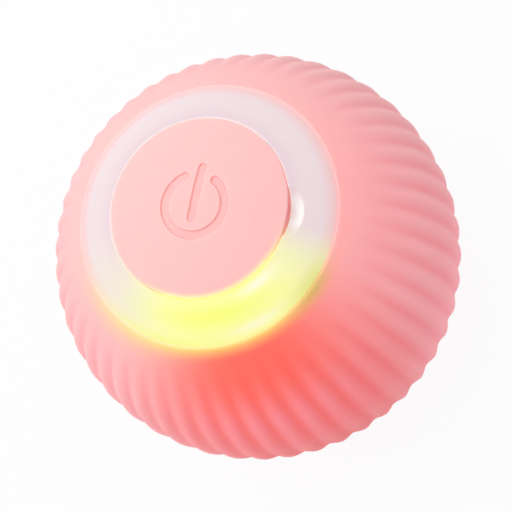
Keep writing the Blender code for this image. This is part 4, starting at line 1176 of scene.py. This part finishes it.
@dataclass
class Studio:
    """The room, the floor, the lamp and the camera."""

    towards_camera: Triple = (0.343316, -0.192551, 0.91927)
    image_up: Triple = (-0.128235, 0.959984, 0.24897)
    distance: float = 0.2125
    focal_pixels: float = 2005.0
    image_pixels: float = 512.0
    ball_pixel: tuple[float, float] = (258.25, 256.62)
    dim_side: Triple = (0.88, -0.47, 0.0)
    room_colour: str = "#fdf6ff"
    room_strength: float = 0.765
    dim_strength: float = 0.545
    key_direction: Triple = (-0.415, 0.073, 0.91)
    key_distance: float = 0.6
    key_size: float = 0.8
    key_watts: float = 2.15
    key_colour: str = "#fffdf4"
    floor_size: float = 3.0
    floor_gap: float = 0.1 * MM
    floor_colour: str = "#cecece"
    floor_white: float = 1.04
    floor_white_share: float = 0.88
    sensor_width: float = 36.0
    clip_start: float = 10 * MM

    def camera(self) -> None:
        """Places the camera at the photograph's viewing angle."""
        data = bpy.data.cameras.new("camera")
        camera = bpy.data.objects.new("camera", data)
        bpy.context.scene.collection.objects.link(camera)
        back = Vector(self.towards_camera).normalized()
        up = Vector(self.image_up)
        up = (up - back * up.dot(back)).normalized()
        right = up.cross(back)
        turn = Matrix((right, up, back)).transposed().to_4x4()
        spot = Vector((0, 0, CENTRE)) + back * self.distance
        camera.matrix_world = Matrix.Translation(spot) @ turn
        data.sensor_width = self.sensor_width
        data.lens = self.sensor_width * self.focal_pixels / self.image_pixels
        half = self.image_pixels / 2
        data.shift_x = (half - self.ball_pixel[0]) / self.image_pixels
        data.shift_y = (self.ball_pixel[1] - half) / self.image_pixels
        data.clip_start = self.clip_start
        bpy.context.scene.camera = camera

    def floor(self) -> None:
        """Lays a pale floor that the camera sees as white."""
        select_none()
        bpy.ops.mesh.primitive_plane_add(size=self.floor_size, location=(0, 0, -self.floor_gap))
        floor = bpy.context.object
        floor.name = "floor"
        paint = bpy.data.materials.new("white_paper")
        paint.use_nodes = True
        tree = paint.node_tree
        tree.nodes.clear()
        matt = add_node(tree, "ShaderNodeBsdfDiffuse", {"Color": linear(self.floor_colour)})
        white = add_node(tree, "ShaderNodeEmission", {
            "Color": linear("#ffffff"), "Strength": self.floor_white})
        seen = add_node(tree, "ShaderNodeLightPath")
        # The rest of the share is matt, which keeps the ball's shadow.
        share = seen.outputs["Is Camera Ray"]
        for other, operation in ((seen.outputs["Is Glossy Ray"], "MAXIMUM"),
                                 (seen.outputs["Is Transmission Ray"], "MAXIMUM"),
                                 (self.floor_white_share, "MULTIPLY")):
            share = add_node(tree, "ShaderNodeMath", {0: share, 1: other},
                             operation=operation).outputs[0]
        mixed = add_node(tree, "ShaderNodeMixShader", {
            "Fac": share, 1: matt.outputs[0], 2: white.outputs[0]})
        add_node(tree, "ShaderNodeOutputMaterial", {"Surface": mixed.outputs[0]})
        floor.data.materials.append(paint)

    def key_lamp(self) -> None:
        """Hangs a round lamp that faces the ball."""
        data = bpy.data.lights.new("key_lamp", "AREA")
        data.shape = "DISK"
        data.size = self.key_size
        data.energy = self.key_watts
        data.color = linear(self.key_colour)[:3]
        lamp = bpy.data.objects.new("key_lamp", data)
        bpy.context.scene.collection.objects.link(lamp)
        way = Vector(self.key_direction).normalized()
        lamp.location = Vector((0, 0, CENTRE)) + way * self.key_distance
        lamp.rotation_euler = way.to_track_quat("Z", "Y").to_euler()

    def world(self) -> None:
        """Fills the room with plain light, a little dimmer on one side, seen as white."""
        world = bpy.data.worlds.new("studio")
        bpy.context.scene.world = world
        world.use_nodes = True
        tree = world.node_tree
        tree.nodes.clear()
        seen = add_node(tree, "ShaderNodeLightPath")
        way = add_node(tree, "ShaderNodeTexCoord")
        dim = add_node(tree, "ShaderNodeVectorMath", {
            0: way.outputs["Object"], 1: self.dim_side}, operation="DOT_PRODUCT")
        plain = add_node(tree, "ShaderNodeMapRange", {
            "Value": dim.outputs["Value"], "To Min": self.room_strength,
            "To Max": self.dim_strength})
        strength = add_node(tree, "ShaderNodeMix", {
            "Factor": seen.outputs["Is Camera Ray"], 2: plain.outputs["Result"], 3: 1.0})
        tint = add_node(tree, "ShaderNodeMix", {
            "Factor": seen.outputs["Is Camera Ray"], 6: linear(self.room_colour),
            7: linear("#ffffff")}, data_type="RGBA")
        sky = add_node(tree, "ShaderNodeBackground", {
            "Color": tint.outputs[2], "Strength": strength.outputs[0]})
        add_node(tree, "ShaderNodeOutputWorld", {"Surface": sky.outputs[0]})

    def build(self) -> None:
        """Sets up the studio."""
        bpy.context.scene.view_settings.view_transform = "Standard"
        self.world()
        self.floor()
        self.key_lamp()
        self.camera()


def main() -> None:
    """Builds the ball's sub-assemblies in order, then the studio."""
    for group in (SiliconeCover(), LightRing(), ButtonCap(), Insides()):
        group.build()
    Studio().build()


if __name__ == "__main__":
    main()
